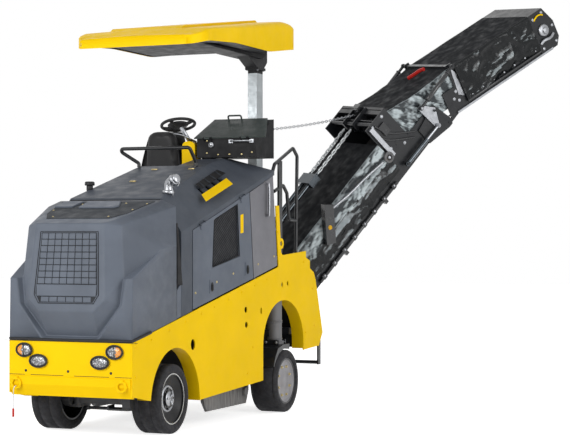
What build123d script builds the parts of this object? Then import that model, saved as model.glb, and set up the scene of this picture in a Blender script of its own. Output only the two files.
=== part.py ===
from build123d import *
import math
import os

# Compact wheeled cold planer with a folding discharge conveyor, in millimetres, +Z up.
# The front faces -Y, the machine's left side is +X, and the conveyor leaves towards +Y.
# While it is built, the origin is on the ground under the middle of the front axle.
# At the end every piece moves so that the origin is under the middle of the whole machine.

# Running clearance between pieces that move, the gap of a seated piece, and a pin's play
CLEAR = 6.0
SEAT_GAP = 0.3
PIN_PLAY = 0.5

# Wheels
TYRE_D = 560.0
TYRE_W = 254.0
TYRE_BORE = 410.0
TYRE_EDGE = 22.0
RIM_WALL = 14.0
RIM_INSET = 12.0
DISC_T = 16.0
DISC_INSET = 70.0
HUB_D = 216.0
HUB_LEN = 96.0
SPINDLE_D = 84.0
WHEEL_R = TYRE_D / 2
FRONT_HALF_TRACK = 458.0
REAR_HALF_TRACK = 643.0
WHEELBASE = 1910.0

# Steering
KINGPIN_X = 288.0
KINGPIN_D = 34.0
KNUCKLE_H = 190.0
KNUCKLE_PLATE_T = 24.0
AXLE_BOSS_D = 78.0
STEER_ARM = 150.0
TIE_ROD_D = 28.0

# Body: half width at the front axle, how it widens to the rear, and its main levels
HALF_W = 600.0
FLARE = 0.079
PANEL_T = 10.0
FRONT_Y = -650.0
BUMPER_Z = 330.0
SEAM_Z0 = 909.0
SEAM_SLOPE = 0.226
FRONT_ARCH_A = 380.0
FRONT_ARCH_B = 450.0
FRONT_ARCH_Z = 240.0
REAR_ARCH_R = 395.0
REAR_ARCH_Y = WHEELBASE - 28
REAR_ARCH_Z = 615.0
ARCH_RETURN = 120.0
BODY_REAR_TOP_Y = WHEELBASE + 420
BODY_REAR_Y = WHEELBASE + 690
DECK_Z = 1400.0
DECK_T = 30.0
POST_TOP_Z = 1860.0
LIFT_EYE_Y = 1834.0
LIFT_EYE_Z = 1520.0
LIFT_EYE_D = 44.0

# Chassis frame
RAIL_X = 110.0
RAIL_W = 60.0
RAIL_Z = 650.0
RAIL_H = 90.0
REAR_WALL_Y = WHEELBASE + 390
WALL_T = 30.0

# Drum and its housing
DRUM_Y = WHEELBASE - 820
DRUM_Z = 372.0
DRUM_CORE_D = 380.0
DRUM_TIP_R = 255.0
DRUM_LEN = 500.0
DRUM_X = -220.0
HOUSING_HALF_X = 520.0
HOUSING_FRONT_Y = DRUM_Y - 330
HOUSING_REAR_Y = DRUM_Y + 350
HOUSING_Z = 240.0
HOUSING_TOP_Z = 690.0
HOUSING_T = 14.0
SIDE_PLATE_Z = 108.0
SIDE_PLATE_T = 16.0
PICK_ROWS = 3
PICKS_PER_ROW = 9

# Hood
HOOD_T = 18.0
HOOD_REAR_Y = 10.0
HOOD_TOP_Z0 = 1872.0
HOOD_HINGE_X = 190.0
HOOD_HINGE_Y = 30.0
HOOD_HINGE_Z = 1838.0
HOOD_TOP_SLOPE = 0.29
SHOULDER_Z = 1270.0
NOSE_CORNER_Y = -565.0
NOSE_LOW_X = 490.0
NOSE_TOP_X = 415.0
NOSE_TOP_Z = 1670.0
SLOT_W = 80.0
DOOR_Y0 = 275.0
DOOR_Y1 = 1238.0
DOOR_Y1_LOW = 1310.0
CREASE_Z0 = 1680.0
CREASE_SLOPE = 0.345
REAR_DOOR_Y = 1690.0
REAR_DOOR_Y_LOW = 1768.0
DOOR_GAP = 12.0
DOOR_T = 16.0
ROOF_REAR_Y = 1150.0
CABINET_X = 40.0

# Operator's place
SEAT_X = -585.0
SEAT_Y = REAR_WALL_Y - 300
SEAT_W = 440.0
SEAT_Z = 2080.0
SEAT_BACK_Z = 2590.0
CONSOLE_X0 = 60.0
CONSOLE_X1 = 640.0
CONSOLE_Y0 = 1500.0
CONSOLE_Y1 = 1900.0
CONSOLE_Z0 = 2290.0
CONSOLE_Z1 = 2460.0
LID_RISE = 185.0
STEER_WHEEL_D = 330.0

# Canopy
MAST_X = 315.0
MAST_Y = REAR_WALL_Y - 80
MAST_A = 90.0
MAST_B = 140.0
MAST_TOP_Z = 3215.0
MAST_FOOT_Z = 1960.0
SOCKET_T = 8.0
CANOPY_HALF_W = 610.0
CANOPY_Y0 = 350.0
CANOPY_Y1 = 2500.0
CANOPY_T = 22.0

# Conveyor: where its centre line meets the ground frame, and the angles of its pose
SLEW_Y = REAR_WALL_Y + 490
SLEW_Z = 600.0
SLEW_REST = 37.3
SLEW_LEAN = 9.0
LIFT_REST = 42.5
FOLD_REST = 24.3
BASE_OFFSET = 165.0
BASE_RISE = 76.0
BELT_FRAME_W = 750.0
BELT_FRAME_H = 250.0
COVER_H = 440.0
LOWER_START = 360.0
LOWER_END = 2690.0
LIFT_PIVOT_U = 560.0
LIFT_PIVOT_N = 150.0
FOLD_U = 2750.0
FOLD_N = -30.0
UPPER_START = 60.0
UPPER_END = 1590.0
CHEEK_T = 22.0
SLEW_POST_D = 120.0
LIFT_ANCHOR_U = 240.0
LIFT_ANCHOR_N = 590.0
LIFT_LUG_U = 2120.0
LIFT_LUG_N = 620.0
LIFT_CYL_D = 60.0
LIFT_CYL_T = 62.0
LIFT_ROD_D = 34.0
LIFT_BARREL_L = 640.0
CRANK_U = 2700.0
CRANK_N = 200.0
CRANK_LINK = (-100.0, 140.0)
CRANK_ROD = (-80.0, -130.0)
LUG_U = 260.0
LUG_N = 460.0
LINK_D = 30.0
FOLD_CYL_D = 46.0
FOLD_ROD_D = 26.0
FOLD_ANCHOR_U = 2100.0
FOLD_ANCHOR_N = 80.0
FOLD_BARREL_L = 330.0
PIN_D = 24.0

nodes = {}


def half_width(y):
    """Half width of the body at a distance y behind the front axle."""
    return HALF_W + FLARE * y


def seam_z(y):
    """Height of the seam between the yellow body and the dark hood."""
    return SEAM_Z0 + SEAM_SLOPE * y


def crease_z(y):
    """Height of the crease where the hood's side turns into its roof."""
    return CREASE_Z0 + CREASE_SLOPE * (y - DOOR_Y0)


def hood_top_z(y):
    """Height of the middle of the hood's top."""
    return HOOD_TOP_Z0 + HOOD_TOP_SLOPE * y


def block(x0, x1, y0, y1, z0, z1):
    """A box between two corners."""
    return Pos((x0 + x1) / 2, (y0 + y1) / 2, (z0 + z1) / 2) * Box(x1 - x0, y1 - y0, z1 - z0)


def prism_yz(points, x0, x1):
    """A side profile of (y, z) points, extruded from x0 to x1."""
    face = make_face(Polyline([(x0, y, z) for y, z in points], close=True))
    return extrude(face, x1 - x0, dir=(1, 0, 0))


def prism_xz(points, y0, y1):
    """A front profile of (x, z) points, extruded from y0 to y1."""
    face = make_face(Polyline([(x, y0, z) for x, z in points], close=True))
    return extrude(face, y1 - y0, dir=(0, 1, 0))


def prism_xy(points, z0, z1):
    """A plan profile of (x, y) points, extruded from z0 to z1."""
    face = make_face(Polyline([(x, y, z0) for x, y in points], close=True))
    return extrude(face, z1 - z0, dir=(0, 0, 1))


def rod(start, end, diameter):
    """A round bar between two points."""
    a = Vector(*start)
    b = Vector(*end)
    way = b - a
    return Plane(origin=a, z_dir=way) * Pos(0, 0, way.length / 2) * Cylinder(diameter / 2, way.length)


def tube_path(points, radius, diameter):
    """A round bar bent along a path with one bend radius."""
    path = FilletPolyline(points, radius=radius)
    section = Plane(origin=path @ 0, z_dir=path % 0) * Circle(diameter / 2)
    return sweep(section, path)


def mirrored(shape):
    """The same piece on the other side of the machine."""
    return mirror(shape, Plane.YZ)


def joined(pieces):
    """Solids that stay apart, kept in one node."""
    solids = []
    for piece in pieces:
        solids += piece.solids()
    return Compound(children=solids)


# The plane of the left side panel: local X runs to the rear, local Y up, local Z out
SIDE_PLANE = Plane(
    origin=(HALF_W, 0, 0),
    x_dir=(FLARE, 1, 0),
    z_dir=(1, -FLARE, 0),
)


def side_plate(profile, thickness, proud=0.0):
    """A plate in the side panel's plane from a sketch in (y, z), its outer face proud by a size."""
    return SIDE_PLANE * Pos(0, 0, proud - thickness) * extrude(profile, thickness, dir=(0, 0, 1))


def outline(points):
    """A face from (y, z) points in a local plane."""
    return make_face(Polyline([(y, z) for y, z in points], close=True))


# Wheels: a solid tyre, and a dished wheel with its hub


def tyre(x_mid, y):
    """A solid rubber tyre on a wheel whose axle runs along X."""
    half = TYRE_W / 2
    ring = outline([
        (TYRE_BORE / 2, -half),
        (WHEEL_R - TYRE_EDGE, -half),
        (WHEEL_R, -half + TYRE_EDGE),
        (WHEEL_R, half - TYRE_EDGE),
        (WHEEL_R - TYRE_EDGE, half),
        (TYRE_BORE / 2, half),
    ])
    body = revolve(Plane.XZ * ring, Axis.Z)
    return Pos(x_mid, y, WHEEL_R) * Rot(0, 90, 0) * body


def wheel(x_mid, y, side):
    """A dished wheel: band, disc and hub, open towards the machine."""
    half = TYRE_W / 2 - RIM_INSET
    band_out = TYRE_BORE / 2 - SEAT_GAP
    band_in = band_out - RIM_WALL
    disc_out = TYRE_W / 2 - DISC_INSET
    disc_in = disc_out - DISC_T
    hub_r = HUB_D / 2
    bore_r = SPINDLE_D / 2 + PIN_PLAY
    hub_out = disc_out + HUB_LEN - DISC_INSET
    profile = outline([
        (bore_r, disc_in),
        (bore_r, hub_out - 18),
        (0, hub_out - 18),
        (0, hub_out),
        (hub_r * 0.62, hub_out),
        (hub_r * 0.62, hub_out - 14),
        (hub_r, disc_out + 8),
        (hub_r, disc_out),
        (band_in, disc_out),
        (band_in, half),
        (band_out, half),
        (band_out, -half),
        (band_in, -half),
        (band_in, disc_in),
    ])
    body = revolve(Plane.XZ * profile, Axis.Z)
    studs = [
        Pos(82 * math.cos(a), 82 * math.sin(a), disc_out + 8) * Cylinder(9, 26)
        for a in [math.tau * k / 8 for k in range(8)]
    ]
    body = body.fuse(*studs)
    turn = Rot(0, 90, 0) if side > 0 else Rot(0, -90, 0)
    return Pos(x_mid, y, WHEEL_R) * turn * body


for axle, half_track, y in (("front", FRONT_HALF_TRACK, 0.0), ("rear", REAR_HALF_TRACK, WHEELBASE)):
    for name, side in (("left", 1), ("right", -1)):
        nodes[f"tyre_{axle}_{name}"] = tyre(side * half_track, y)
        nodes[f"wheel_{axle}_{name}"] = wheel(side * half_track, y, side)

# Front axle, knuckles and tie rod
axle_r = AXLE_BOSS_D / 2
axle_half_h = KNUCKLE_H / 2 - KNUCKLE_PLATE_T - 2
boss_h = 2 * axle_half_h
axle_beam = block(-KINGPIN_X + 30, KINGPIN_X - 30, -40, 40, WHEEL_R - axle_half_h + 8, WHEEL_R + axle_half_h - 8)
axle_bosses = [Pos(s * KINGPIN_X, 0, WHEEL_R) * Cylinder(axle_r, boss_h) for s in (-1, 1)]
axle_holes = [Pos(s * KINGPIN_X, 0, WHEEL_R) * Cylinder(KINGPIN_D / 2 + PIN_PLAY, 400) for s in (-1, 1)]
axle_saddle = block(-70, 70, -40, 40, WHEEL_R, RAIL_Z - 60)
axle_pivot = block(-RAIL_X - RAIL_W, RAIL_X + RAIL_W, -60, 60, RAIL_Z - 60, RAIL_Z)
nodes["front_axle"] = axle_beam.fuse(axle_saddle, axle_pivot, *axle_bosses).cut(*axle_holes)

disc_in_x = FRONT_HALF_TRACK + TYRE_W / 2 - DISC_INSET - DISC_T


def knuckle(side):
    """A fork round the axle's boss, with its kingpin, spindle and steering arm."""
    top = WHEEL_R + KNUCKLE_H / 2
    bottom = WHEEL_R - KNUCKLE_H / 2
    web_x = KINGPIN_X + axle_r + 6
    plates = []
    for z in (top - KNUCKLE_PLATE_T, bottom):
        plates.append(Pos(KINGPIN_X, 0, z + KNUCKLE_PLATE_T / 2) * Cylinder(axle_r, KNUCKLE_PLATE_T))
        plates.append(block(KINGPIN_X, web_x + 20, -axle_r, axle_r, z, z + KNUCKLE_PLATE_T))
    web = block(web_x, web_x + 24, -axle_r, axle_r, bottom, top)
    pin = Pos(KINGPIN_X, 0, WHEEL_R) * Cylinder(KINGPIN_D / 2, KNUCKLE_H)
    motor = rod((web_x, 0, WHEEL_R), (web_x + 70, 0, WHEEL_R), 180)
    spindle = rod((web_x, 0, WHEEL_R), (FRONT_HALF_TRACK + TYRE_W / 2 - 62, 0, WHEEL_R), SPINDLE_D)
    arm = block(KINGPIN_X - 22, KINGPIN_X + 22, 0, STEER_ARM, bottom, bottom + 18)
    arm_end = Pos(KINGPIN_X, STEER_ARM, bottom + 9) * Cylinder(24, 18)
    arm_pin = Pos(KINGPIN_X, STEER_ARM, bottom) * Cylinder(8, 70)
    body = plates[0].fuse(*plates[1:], web, pin, motor, spindle, arm, arm_end, arm_pin)
    return body if side > 0 else mirrored(body)


nodes["knuckle_left"] = knuckle(1)
nodes["knuckle_right"] = knuckle(-1)
TIE_EYE_H = TIE_ROD_D + 6
tie_z = WHEEL_R - KNUCKLE_H / 2 - TIE_EYE_H / 2 - 4
tie = rod((-KINGPIN_X, STEER_ARM, tie_z), (KINGPIN_X, STEER_ARM, tie_z), TIE_ROD_D)
tie_ends = [Pos(s * KINGPIN_X, STEER_ARM, tie_z) * Cylinder(20, TIE_EYE_H) for s in (-1, 1)]
tie_holes = [Pos(s * KINGPIN_X, STEER_ARM, tie_z) * Cylinder(8 + PIN_PLAY, 100) for s in (-1, 1)]
nodes["tie_rod"] = tie.fuse(*tie_ends).cut(*tie_holes)

# Rear legs: lifting column, clamp, arm inside the wheel, and spindle
SLEEVE_R = 66.0


def rear_leg(side):
    """A lifting column over a rear wheel, and the arm that carries the wheel."""
    arm_x = REAR_HALF_TRACK - TYRE_W / 2 - 20
    sleeve = Pos(REAR_HALF_TRACK, WHEELBASE, 930) * Cylinder(SLEEVE_R, 640)
    ram = Pos(REAR_HALF_TRACK, WHEELBASE, 605) * Cylinder(50, 60)
    flange = Pos(REAR_HALF_TRACK, WHEELBASE, 622) * Cylinder(82, 20)
    clamp = block(arm_x - 40, REAR_HALF_TRACK + 84, WHEELBASE - 75, WHEELBASE + 75, 576, 604)
    arm = block(arm_x - 40, arm_x, WHEELBASE - 75, WHEELBASE + 75, WHEEL_R - 60, 590)
    boss = rod((arm_x - 60, WHEELBASE, WHEEL_R), (arm_x + 70, WHEELBASE, WHEEL_R), 180)
    spindle_end = REAR_HALF_TRACK + TYRE_W / 2 - 62
    spindle = rod((arm_x, WHEELBASE, WHEEL_R), (spindle_end, WHEELBASE, WHEEL_R), SPINDLE_D)
    body = sleeve.fuse(ram, flange, clamp, arm, boss, spindle)
    return body if side > 0 else mirrored(body)


nodes["rear_legs"] = joined([rear_leg(1), rear_leg(-1)])

# Body panels


def front_arch(grow=0.0):
    """The opening over a front wheel, an oval with straight sides below its middle."""
    oval = Pos(0, FRONT_ARCH_Z) * Ellipse(FRONT_ARCH_A + grow, FRONT_ARCH_B + grow)
    return oval + Pos(0, FRONT_ARCH_Z - 200) * Rectangle(2 * (FRONT_ARCH_A + grow), 400)


def rear_arch(grow=0.0):
    """The opening over a rear wheel, a round with straight sides below its middle."""
    disc = Pos(REAR_ARCH_Y, REAR_ARCH_Z) * Circle(REAR_ARCH_R + grow)
    return disc + Pos(REAR_ARCH_Y, REAR_ARCH_Z - 300) * Rectangle(2 * (REAR_ARCH_R + grow), 600)


def panel_outline():
    """The left side panel from the bumper to the rear fender, without its arches."""
    return outline([
        (FRONT_Y, BUMPER_Z + 20),
        (-400, 300),
        (0, 250),
        (FRONT_ARCH_A, FRONT_ARCH_Z),
        (REAR_ARCH_Y - REAR_ARCH_R - 15, 315),
        (REAR_ARCH_Y, 430),
        (REAR_ARCH_Y + REAR_ARCH_R + 20, 540),
        (BODY_REAR_Y, 560),
        (BODY_REAR_Y + 80, 680),
        (BODY_REAR_Y - 70, 1180),
        (BODY_REAR_Y - 110, 1250),
        (BODY_REAR_Y - 190, 1290),
        (BODY_REAR_Y - 190, 1360),
        (BODY_REAR_TOP_Y, 1390),
        (BODY_REAR_TOP_Y, 1450),
        (DOOR_Y1 + 622, 1415),
        (REAR_DOOR_Y_LOW + 62, 1440),
        (REAR_DOOR_Y_LOW + 22, POST_TOP_Z),
        (REAR_DOOR_Y_LOW - 40, POST_TOP_Z),
        (REAR_DOOR_Y_LOW + DOOR_GAP, seam_z(REAR_DOOR_Y_LOW) + 10),
        (REAR_DOOR_Y_LOW, seam_z(REAR_DOOR_Y_LOW)),
        (FRONT_Y, seam_z(FRONT_Y)),
    ])


HOLES = (
    # y, z, width, height
    (270, 700, 70, 90),
    (1170, 950, 50, 55),
    (1180, 820, 50, 55),
    (1450, 930, 30, 60),
    (1850, 1150, 32, 46),
    (1960, 1160, 32, 46),
)


def side_panel():
    """The left side panel with arches, arch returns and service holes."""
    face = panel_outline() + Pos(LIFT_EYE_Y, LIFT_EYE_Z) * Circle(48) - front_arch() - rear_arch()
    face -= Pos(LIFT_EYE_Y, LIFT_EYE_Z) * Circle(LIFT_EYE_D / 2)
    for y, z, w, h in HOLES:
        face -= Pos(y, z) * Ellipse(w / 2, h / 2)
    sheet = side_plate(face, PANEL_T)
    front_ring = front_arch(PANEL_T) - front_arch()
    rear_ring = rear_arch(PANEL_T) - rear_arch()
    keep = outline([
        (FRONT_Y, 330), (-400, 300), (0, 250), (FRONT_ARCH_A + 60, 235),
        (REAR_ARCH_Y - 450, 320), (REAR_ARCH_Y, 420), (REAR_ARCH_Y + 420, 560),
        (BODY_REAR_Y - 100, 1200), (FRONT_Y, 800),
    ])
    returns = side_plate(front_ring & keep, ARCH_RETURN).fuse(side_plate(rear_ring & keep, ARCH_RETURN))
    sleeve_way = Pos(REAR_HALF_TRACK, WHEELBASE, 900) * Cylinder(SLEEVE_R + SEAT_GAP, 800)
    return sheet.fuse(returns.cut(sleeve_way))


nodes["side_panel_left"] = side_panel()
nodes["side_panel_right"] = mirrored(nodes["side_panel_left"])

# Front panel and bumper
front_half = half_width(FRONT_Y) - PANEL_T - SEAT_GAP
LAMPS = (
    # x, z, width, height
    (-403, 690, 136, 98),
    (403, 690, 136, 98),
    (-275, 606, 150, 92),
    (275, 606, 150, 92),
)
panel = block(-front_half, front_half, FRONT_Y, FRONT_Y + 16, 440, seam_z(FRONT_Y) - 2)
for x, z, w, h in LAMPS:
    hole = Plane(origin=(x, FRONT_Y - 20, z), z_dir=(0, 1, 0), x_dir=(1, 0, 0)) * extrude(Ellipse(w / 2, h / 2), 80)
    panel = panel.cut(hole)
bumper = prism_yz(
    [(FRONT_Y, 490), (FRONT_Y - 12, 480), (FRONT_Y - 12, 420), (FRONT_Y + 30, BUMPER_Z),
     (FRONT_Y + 60, BUMPER_Z), (FRONT_Y + 60, 345), (FRONT_Y + 42, 345), (FRONT_Y + 4, 424), (FRONT_Y + 16, 490)],
    -front_half, front_half)
ring_lugs = []
for s in (-1, 1):
    x = s * 470
    ring = Plane(origin=(x, FRONT_Y - 22, 425), z_dir=(0, 1, 0)) * Torus(38, 9)
    lug = block(x - 16, x + 16, FRONT_Y - 34, FRONT_Y - 10, 455, 480)
    ring_lugs += [ring, lug]
nodes["front_panel"] = panel.fuse(bumper, *ring_lugs)


def lamp(x, z, w, h):
    """An oval lamp: a bezel ring and a domed lens on a can behind the panel."""
    plane = Plane(origin=(x, FRONT_Y - 14, z), z_dir=(0, 1, 0), x_dir=(1, 0, 0))
    can = plane * extrude(Ellipse(w / 2 - 6, h / 2 - 6), 60)
    bezel = plane * extrude(Ellipse(w / 2 + 8, h / 2 + 8) - Ellipse(w / 2 - 8, h / 2 - 8), 13.7)
    return can.fuse(bezel)


nodes["headlamps"] = joined([lamp(*row) for row in LAMPS])

# Chassis frame: two rails, cross members, walls, cabinet floor and the ears of the slewing post
frame_pieces = []
for s in (-1, 1):
    x_in = s * RAIL_X
    x_out = s * (RAIL_X + RAIL_W)
    frame_pieces.append(
        block(min(x_in, x_out), max(x_in, x_out), FRONT_Y + 70, REAR_WALL_Y, RAIL_Z, RAIL_Z + RAIL_H))
for y in (FRONT_Y + 70, HOUSING_FRONT_Y - 120, HOUSING_REAR_Y + 60, REAR_WALL_Y - 60):
    reach = half_width(y) - PANEL_T - SEAT_GAP - (ARCH_RETURN if y > 1000 else 0)
    z = RAIL_Z + RAIL_H - 60
    frame_pieces.append(prism_xy([
        (-reach, y), (reach, y), (reach + FLARE * 60, y + 60), (-reach - FLARE * 60, y + 60)], z, z + 60))
beam_reach = REAR_HALF_TRACK - 30
leg_beam = block(-beam_reach, beam_reach, WHEELBASE - 60, WHEELBASE + 60, RAIL_Z + 30, RAIL_Z + RAIL_H)
for s in (-1, 1):
    leg_beam = leg_beam.cut(Pos(s * REAR_HALF_TRACK, WHEELBASE, RAIL_Z) * Cylinder(SLEEVE_R + SEAT_GAP, 400))
frame_pieces.append(leg_beam)
rear_reach = half_width(REAR_WALL_Y) - PANEL_T - SEAT_GAP - ARCH_RETURN
frame_pieces.append(block(-rear_reach, rear_reach, REAR_WALL_Y, REAR_WALL_Y + WALL_T, 560, DECK_Z - DECK_T))
fire_reach = half_width(1180) - 76
frame_pieces.append(block(-fire_reach, fire_reach, 1180, 1200, RAIL_Z + RAIL_H, DECK_Z - DECK_T))
cab_reach = half_width(1240) - DOOR_T - 30
frame_pieces.append(prism_xz([
    (CABINET_X, DECK_Z - DECK_T), (cab_reach, DECK_Z - DECK_T), (cab_reach, 1950), (320, 2175),
    (CABINET_X, 2175)], 1180, 1200))
mid_reach = half_width(HOUSING_REAR_Y) - 76
frame_pieces.append(block(
    -mid_reach, mid_reach, HOUSING_REAR_Y + 5, HOUSING_REAR_Y + 30, RAIL_Z + RAIL_H - 60, DECK_Z - DECK_T))
mast_socket = block(
    MAST_X - MAST_A / 2 - SOCKET_T - PIN_PLAY, MAST_X + MAST_A / 2 + SOCKET_T + PIN_PLAY,
    MAST_Y - MAST_B / 2 - SOCKET_T - PIN_PLAY, MAST_Y + MAST_B / 2 + SOCKET_T + PIN_PLAY, DECK_Z, 2080)
mast_hole = block(
    MAST_X - MAST_A / 2 - PIN_PLAY, MAST_X + MAST_A / 2 + PIN_PLAY,
    MAST_Y - MAST_B / 2 - PIN_PLAY, MAST_Y + MAST_B / 2 + PIN_PLAY, DECK_Z + 40, 2090)
socket_foot = block(MAST_X - 90, MAST_X + 90, MAST_Y - 20, REAR_WALL_Y + WALL_T, DECK_Z - DECK_T, DECK_Z)
mast_socket = mast_socket.cut(mast_hole)

# Slewing axis: a leaning line over a point behind the rear wall
slew_origin = Vector(0, SLEW_Y, SLEW_Z)
lean = Rot(SLEW_LEAN, 0, 0)
slew_frame = Location((0, SLEW_Y, SLEW_Z)) * lean
ear_z = (-70.0, 90.0)
EAR_T = 36.0
ears = []
for z in ear_z:
    plate = prism_xy([(-170, -470), (170, -470), (95, 30), (-95, 30)], z - EAR_T / 2, z + EAR_T / 2)
    plate = plate.fuse(Pos(0, 30, z) * Cylinder(95, EAR_T))
    ears.append(slew_frame * Pos(0, -30, 0) * plate)
gussets = [slew_frame * block(s * 120 - 15, s * 120 + 15, -480, -150, ear_z[0], ear_z[1]) for s in (-1, 1)]
back_cut = block(-400, 400, REAR_WALL_Y - 300, REAR_WALL_Y + 5, 300, 900)
ears = [e.cut(back_cut) for e in ears + gussets]
pin_hole = slew_frame * Cylinder(SLEW_POST_D / 2 + PIN_PLAY, 600)
frame_body = frame_pieces[0].fuse(*frame_pieces[1:], mast_socket, socket_foot, *ears)
frame_body = frame_body.cut(pin_hole)
nodes["chassis_frame"] = frame_body

# Engine block, drum housing and side plates
nodes["engine_block"] = block(-260, 260, 140, 1100, RAIL_Z + RAIL_H + SEAT_GAP, 1560)
house_front = block(-HOUSING_HALF_X, HOUSING_HALF_X, HOUSING_FRONT_Y, HOUSING_FRONT_Y + HOUSING_T,
                    HOUSING_Z, HOUSING_TOP_Z)
house_rear = block(-HOUSING_HALF_X, HOUSING_HALF_X, HOUSING_REAR_Y - HOUSING_T, HOUSING_REAR_Y,
                   HOUSING_Z, HOUSING_TOP_Z)
house_top = block(-HOUSING_HALF_X, HOUSING_HALF_X, HOUSING_FRONT_Y, HOUSING_REAR_Y,
                  HOUSING_TOP_Z - HOUSING_T, HOUSING_TOP_Z)
drum_wall_x = DRUM_X + DRUM_LEN / 2 + 30
house_wall = block(drum_wall_x, drum_wall_x + HOUSING_T, HOUSING_FRONT_Y, HOUSING_REAR_Y, HOUSING_Z, HOUSING_TOP_Z)
drum_bearing = rod((drum_wall_x, DRUM_Y, DRUM_Z), (drum_wall_x + 170, DRUM_Y, DRUM_Z), 230)
shaft_hole = rod((drum_wall_x - 50, DRUM_Y, DRUM_Z), (drum_wall_x + 120, DRUM_Y, DRUM_Z), 90 + 2 * PIN_PLAY)
rails_cut = block(-RAIL_X - RAIL_W - SEAT_GAP, RAIL_X + RAIL_W + SEAT_GAP, HOUSING_FRONT_Y - 60,
                 HOUSING_REAR_Y + 60, RAIL_Z - SEAT_GAP, RAIL_Z + RAIL_H + 60)
housing = house_front.fuse(house_rear, house_top, house_wall, drum_bearing).cut(shaft_hole, rails_cut)
nodes["drum_housing"] = housing


def skid_plate(side):
    """A ribbed plate beside the drum, with a small roller at its rear."""
    x0 = HOUSING_HALF_X + SEAT_GAP
    y0 = HOUSING_FRONT_Y - 140
    y1 = HOUSING_REAR_Y + 120
    profile = [(y0, SIDE_PLATE_Z + 90), (y0 + 80, SIDE_PLATE_Z), (y1 - 60, SIDE_PLATE_Z), (y1, SIDE_PLATE_Z + 120),
               (y1, 300), (HOUSING_REAR_Y, HOUSING_TOP_Z), (HOUSING_FRONT_Y, HOUSING_TOP_Z), (y0, 300)]
    plate = prism_yz(profile, x0, x0 + SIDE_PLATE_T)
    rib_ys = [y0 + 80 + 62 * k for k in range(11)]
    ribs = [block(x0, x0 + SIDE_PLATE_T + 8, y, y + 16, SIDE_PLATE_Z + 10, 330) for y in rib_ys]
    roller = rod((x0, HOUSING_REAR_Y, 215), (x0 + 54, HOUSING_REAR_Y, 215), 74)
    body = plate.fuse(*ribs, roller)
    return body if side > 0 else mirrored(body)


nodes["side_plates"] = joined([skid_plate(1), skid_plate(-1)])

# Milling drum: a core with picks in holders along a helix, on its shaft
drum = rod((DRUM_X - DRUM_LEN / 2, DRUM_Y, DRUM_Z), (DRUM_X + DRUM_LEN / 2, DRUM_Y, DRUM_Z), DRUM_CORE_D)
shaft = rod((DRUM_X, DRUM_Y, DRUM_Z), (drum_wall_x + 110, DRUM_Y, DRUM_Z), 90)
HOLDER_H = 44.0
HOLDER_SINK = 6.0
PICK_RAKE = 35.0
tip_base = DRUM_CORE_D / 2 - HOLDER_SINK + HOLDER_H
tip_len = (DRUM_TIP_R - 2 - tip_base) / math.cos(math.radians(PICK_RAKE))
picks = []
for row in range(PICK_ROWS):
    for k in range(PICKS_PER_ROW):
        share = (k + 0.5) / PICKS_PER_ROW
        x = DRUM_X - DRUM_LEN / 2 + share * DRUM_LEN
        turn = math.degrees(math.tau * (row / PICK_ROWS + share * 0.9))
        face = outline([(-26, 0), (30, 0), (22, HOLDER_H), (-10, HOLDER_H)])
        holder = extrude(Plane.YZ * face, 18, both=True)
        tip = Cone(11, 3, tip_len, align=(Align.CENTER, Align.CENTER, Align.MIN))
        tip = Pos(0, 8, HOLDER_H) * Rot(-PICK_RAKE, 0, 0) * tip
        pick = Pos(0, 0, DRUM_CORE_D / 2 - HOLDER_SINK) * holder.fuse(tip)
        picks.append(Pos(x, DRUM_Y, DRUM_Z) * Rot(turn, 0, 0) * pick)
nodes["milling_drum"] = drum.fuse(shaft, *picks)

# Hood: a moulded nose with shoulders, hollow and open below and behind


def hood_form(inset):
    """The solid form of the front hood, every face moved inwards by an inset."""
    y_front = FRONT_Y + inset
    low = -60.0 if inset else 0.0
    rear = HOOD_REAR_Y + (40.0 if inset else 0.0)
    skirt_side = prism_yz([
        (y_front, seam_z(FRONT_Y) + 6 + low), (y_front, SHOULDER_Z - inset), (-590, SHOULDER_Z + 25 - inset),
        (-230, 1480 - inset), (rear, 1480 - inset), (rear, seam_z(rear) + 6 + low)], -900, 900)
    wide = half_width(FRONT_Y) - inset
    skirt_plan = prism_xy([
        (-wide, y_front), (wide, y_front), (half_width(rear) - inset, rear), (-half_width(rear) + inset, rear)],
        500, 2300)
    skirt = skirt_side & skirt_plan
    stations = (
        # y, lower half width, shoulder half width and height, top half width and height
        (FRONT_Y + 2, 400, 345, 1630, 318, 1690),
        (NOSE_CORNER_Y, NOSE_LOW_X, NOSE_TOP_X, NOSE_TOP_Z - 20, NOSE_TOP_X - 70, NOSE_TOP_Z + 40),
        (HOOD_REAR_Y, half_width(HOOD_REAR_Y), half_width(HOOD_REAR_Y) - 6, 1826, 470, hood_top_z(HOOD_REAR_Y)),
    )
    sections = []
    for y, low_x, side_x, side_z, top_x, top_z in stations:
        half = [(low_x, 960 + low), (side_x, side_z), (top_x, top_z)]
        half = [(x - inset, z - (inset if z > 1000 else 0)) for x, z in half]
        points = half + [(-x, z) for x, z in half[::-1]]
        place = y + (inset if y < HOOD_REAR_Y else rear - HOOD_REAR_Y)
        sections.append(make_face(Polyline([(x, place, z) for x, z in points], close=True)))
    nose_front = loft(sections[:2], ruled=True)
    nose_rear = loft(sections[1:], ruled=True)
    return skirt, nose_front.fuse(nose_rear)


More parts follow.
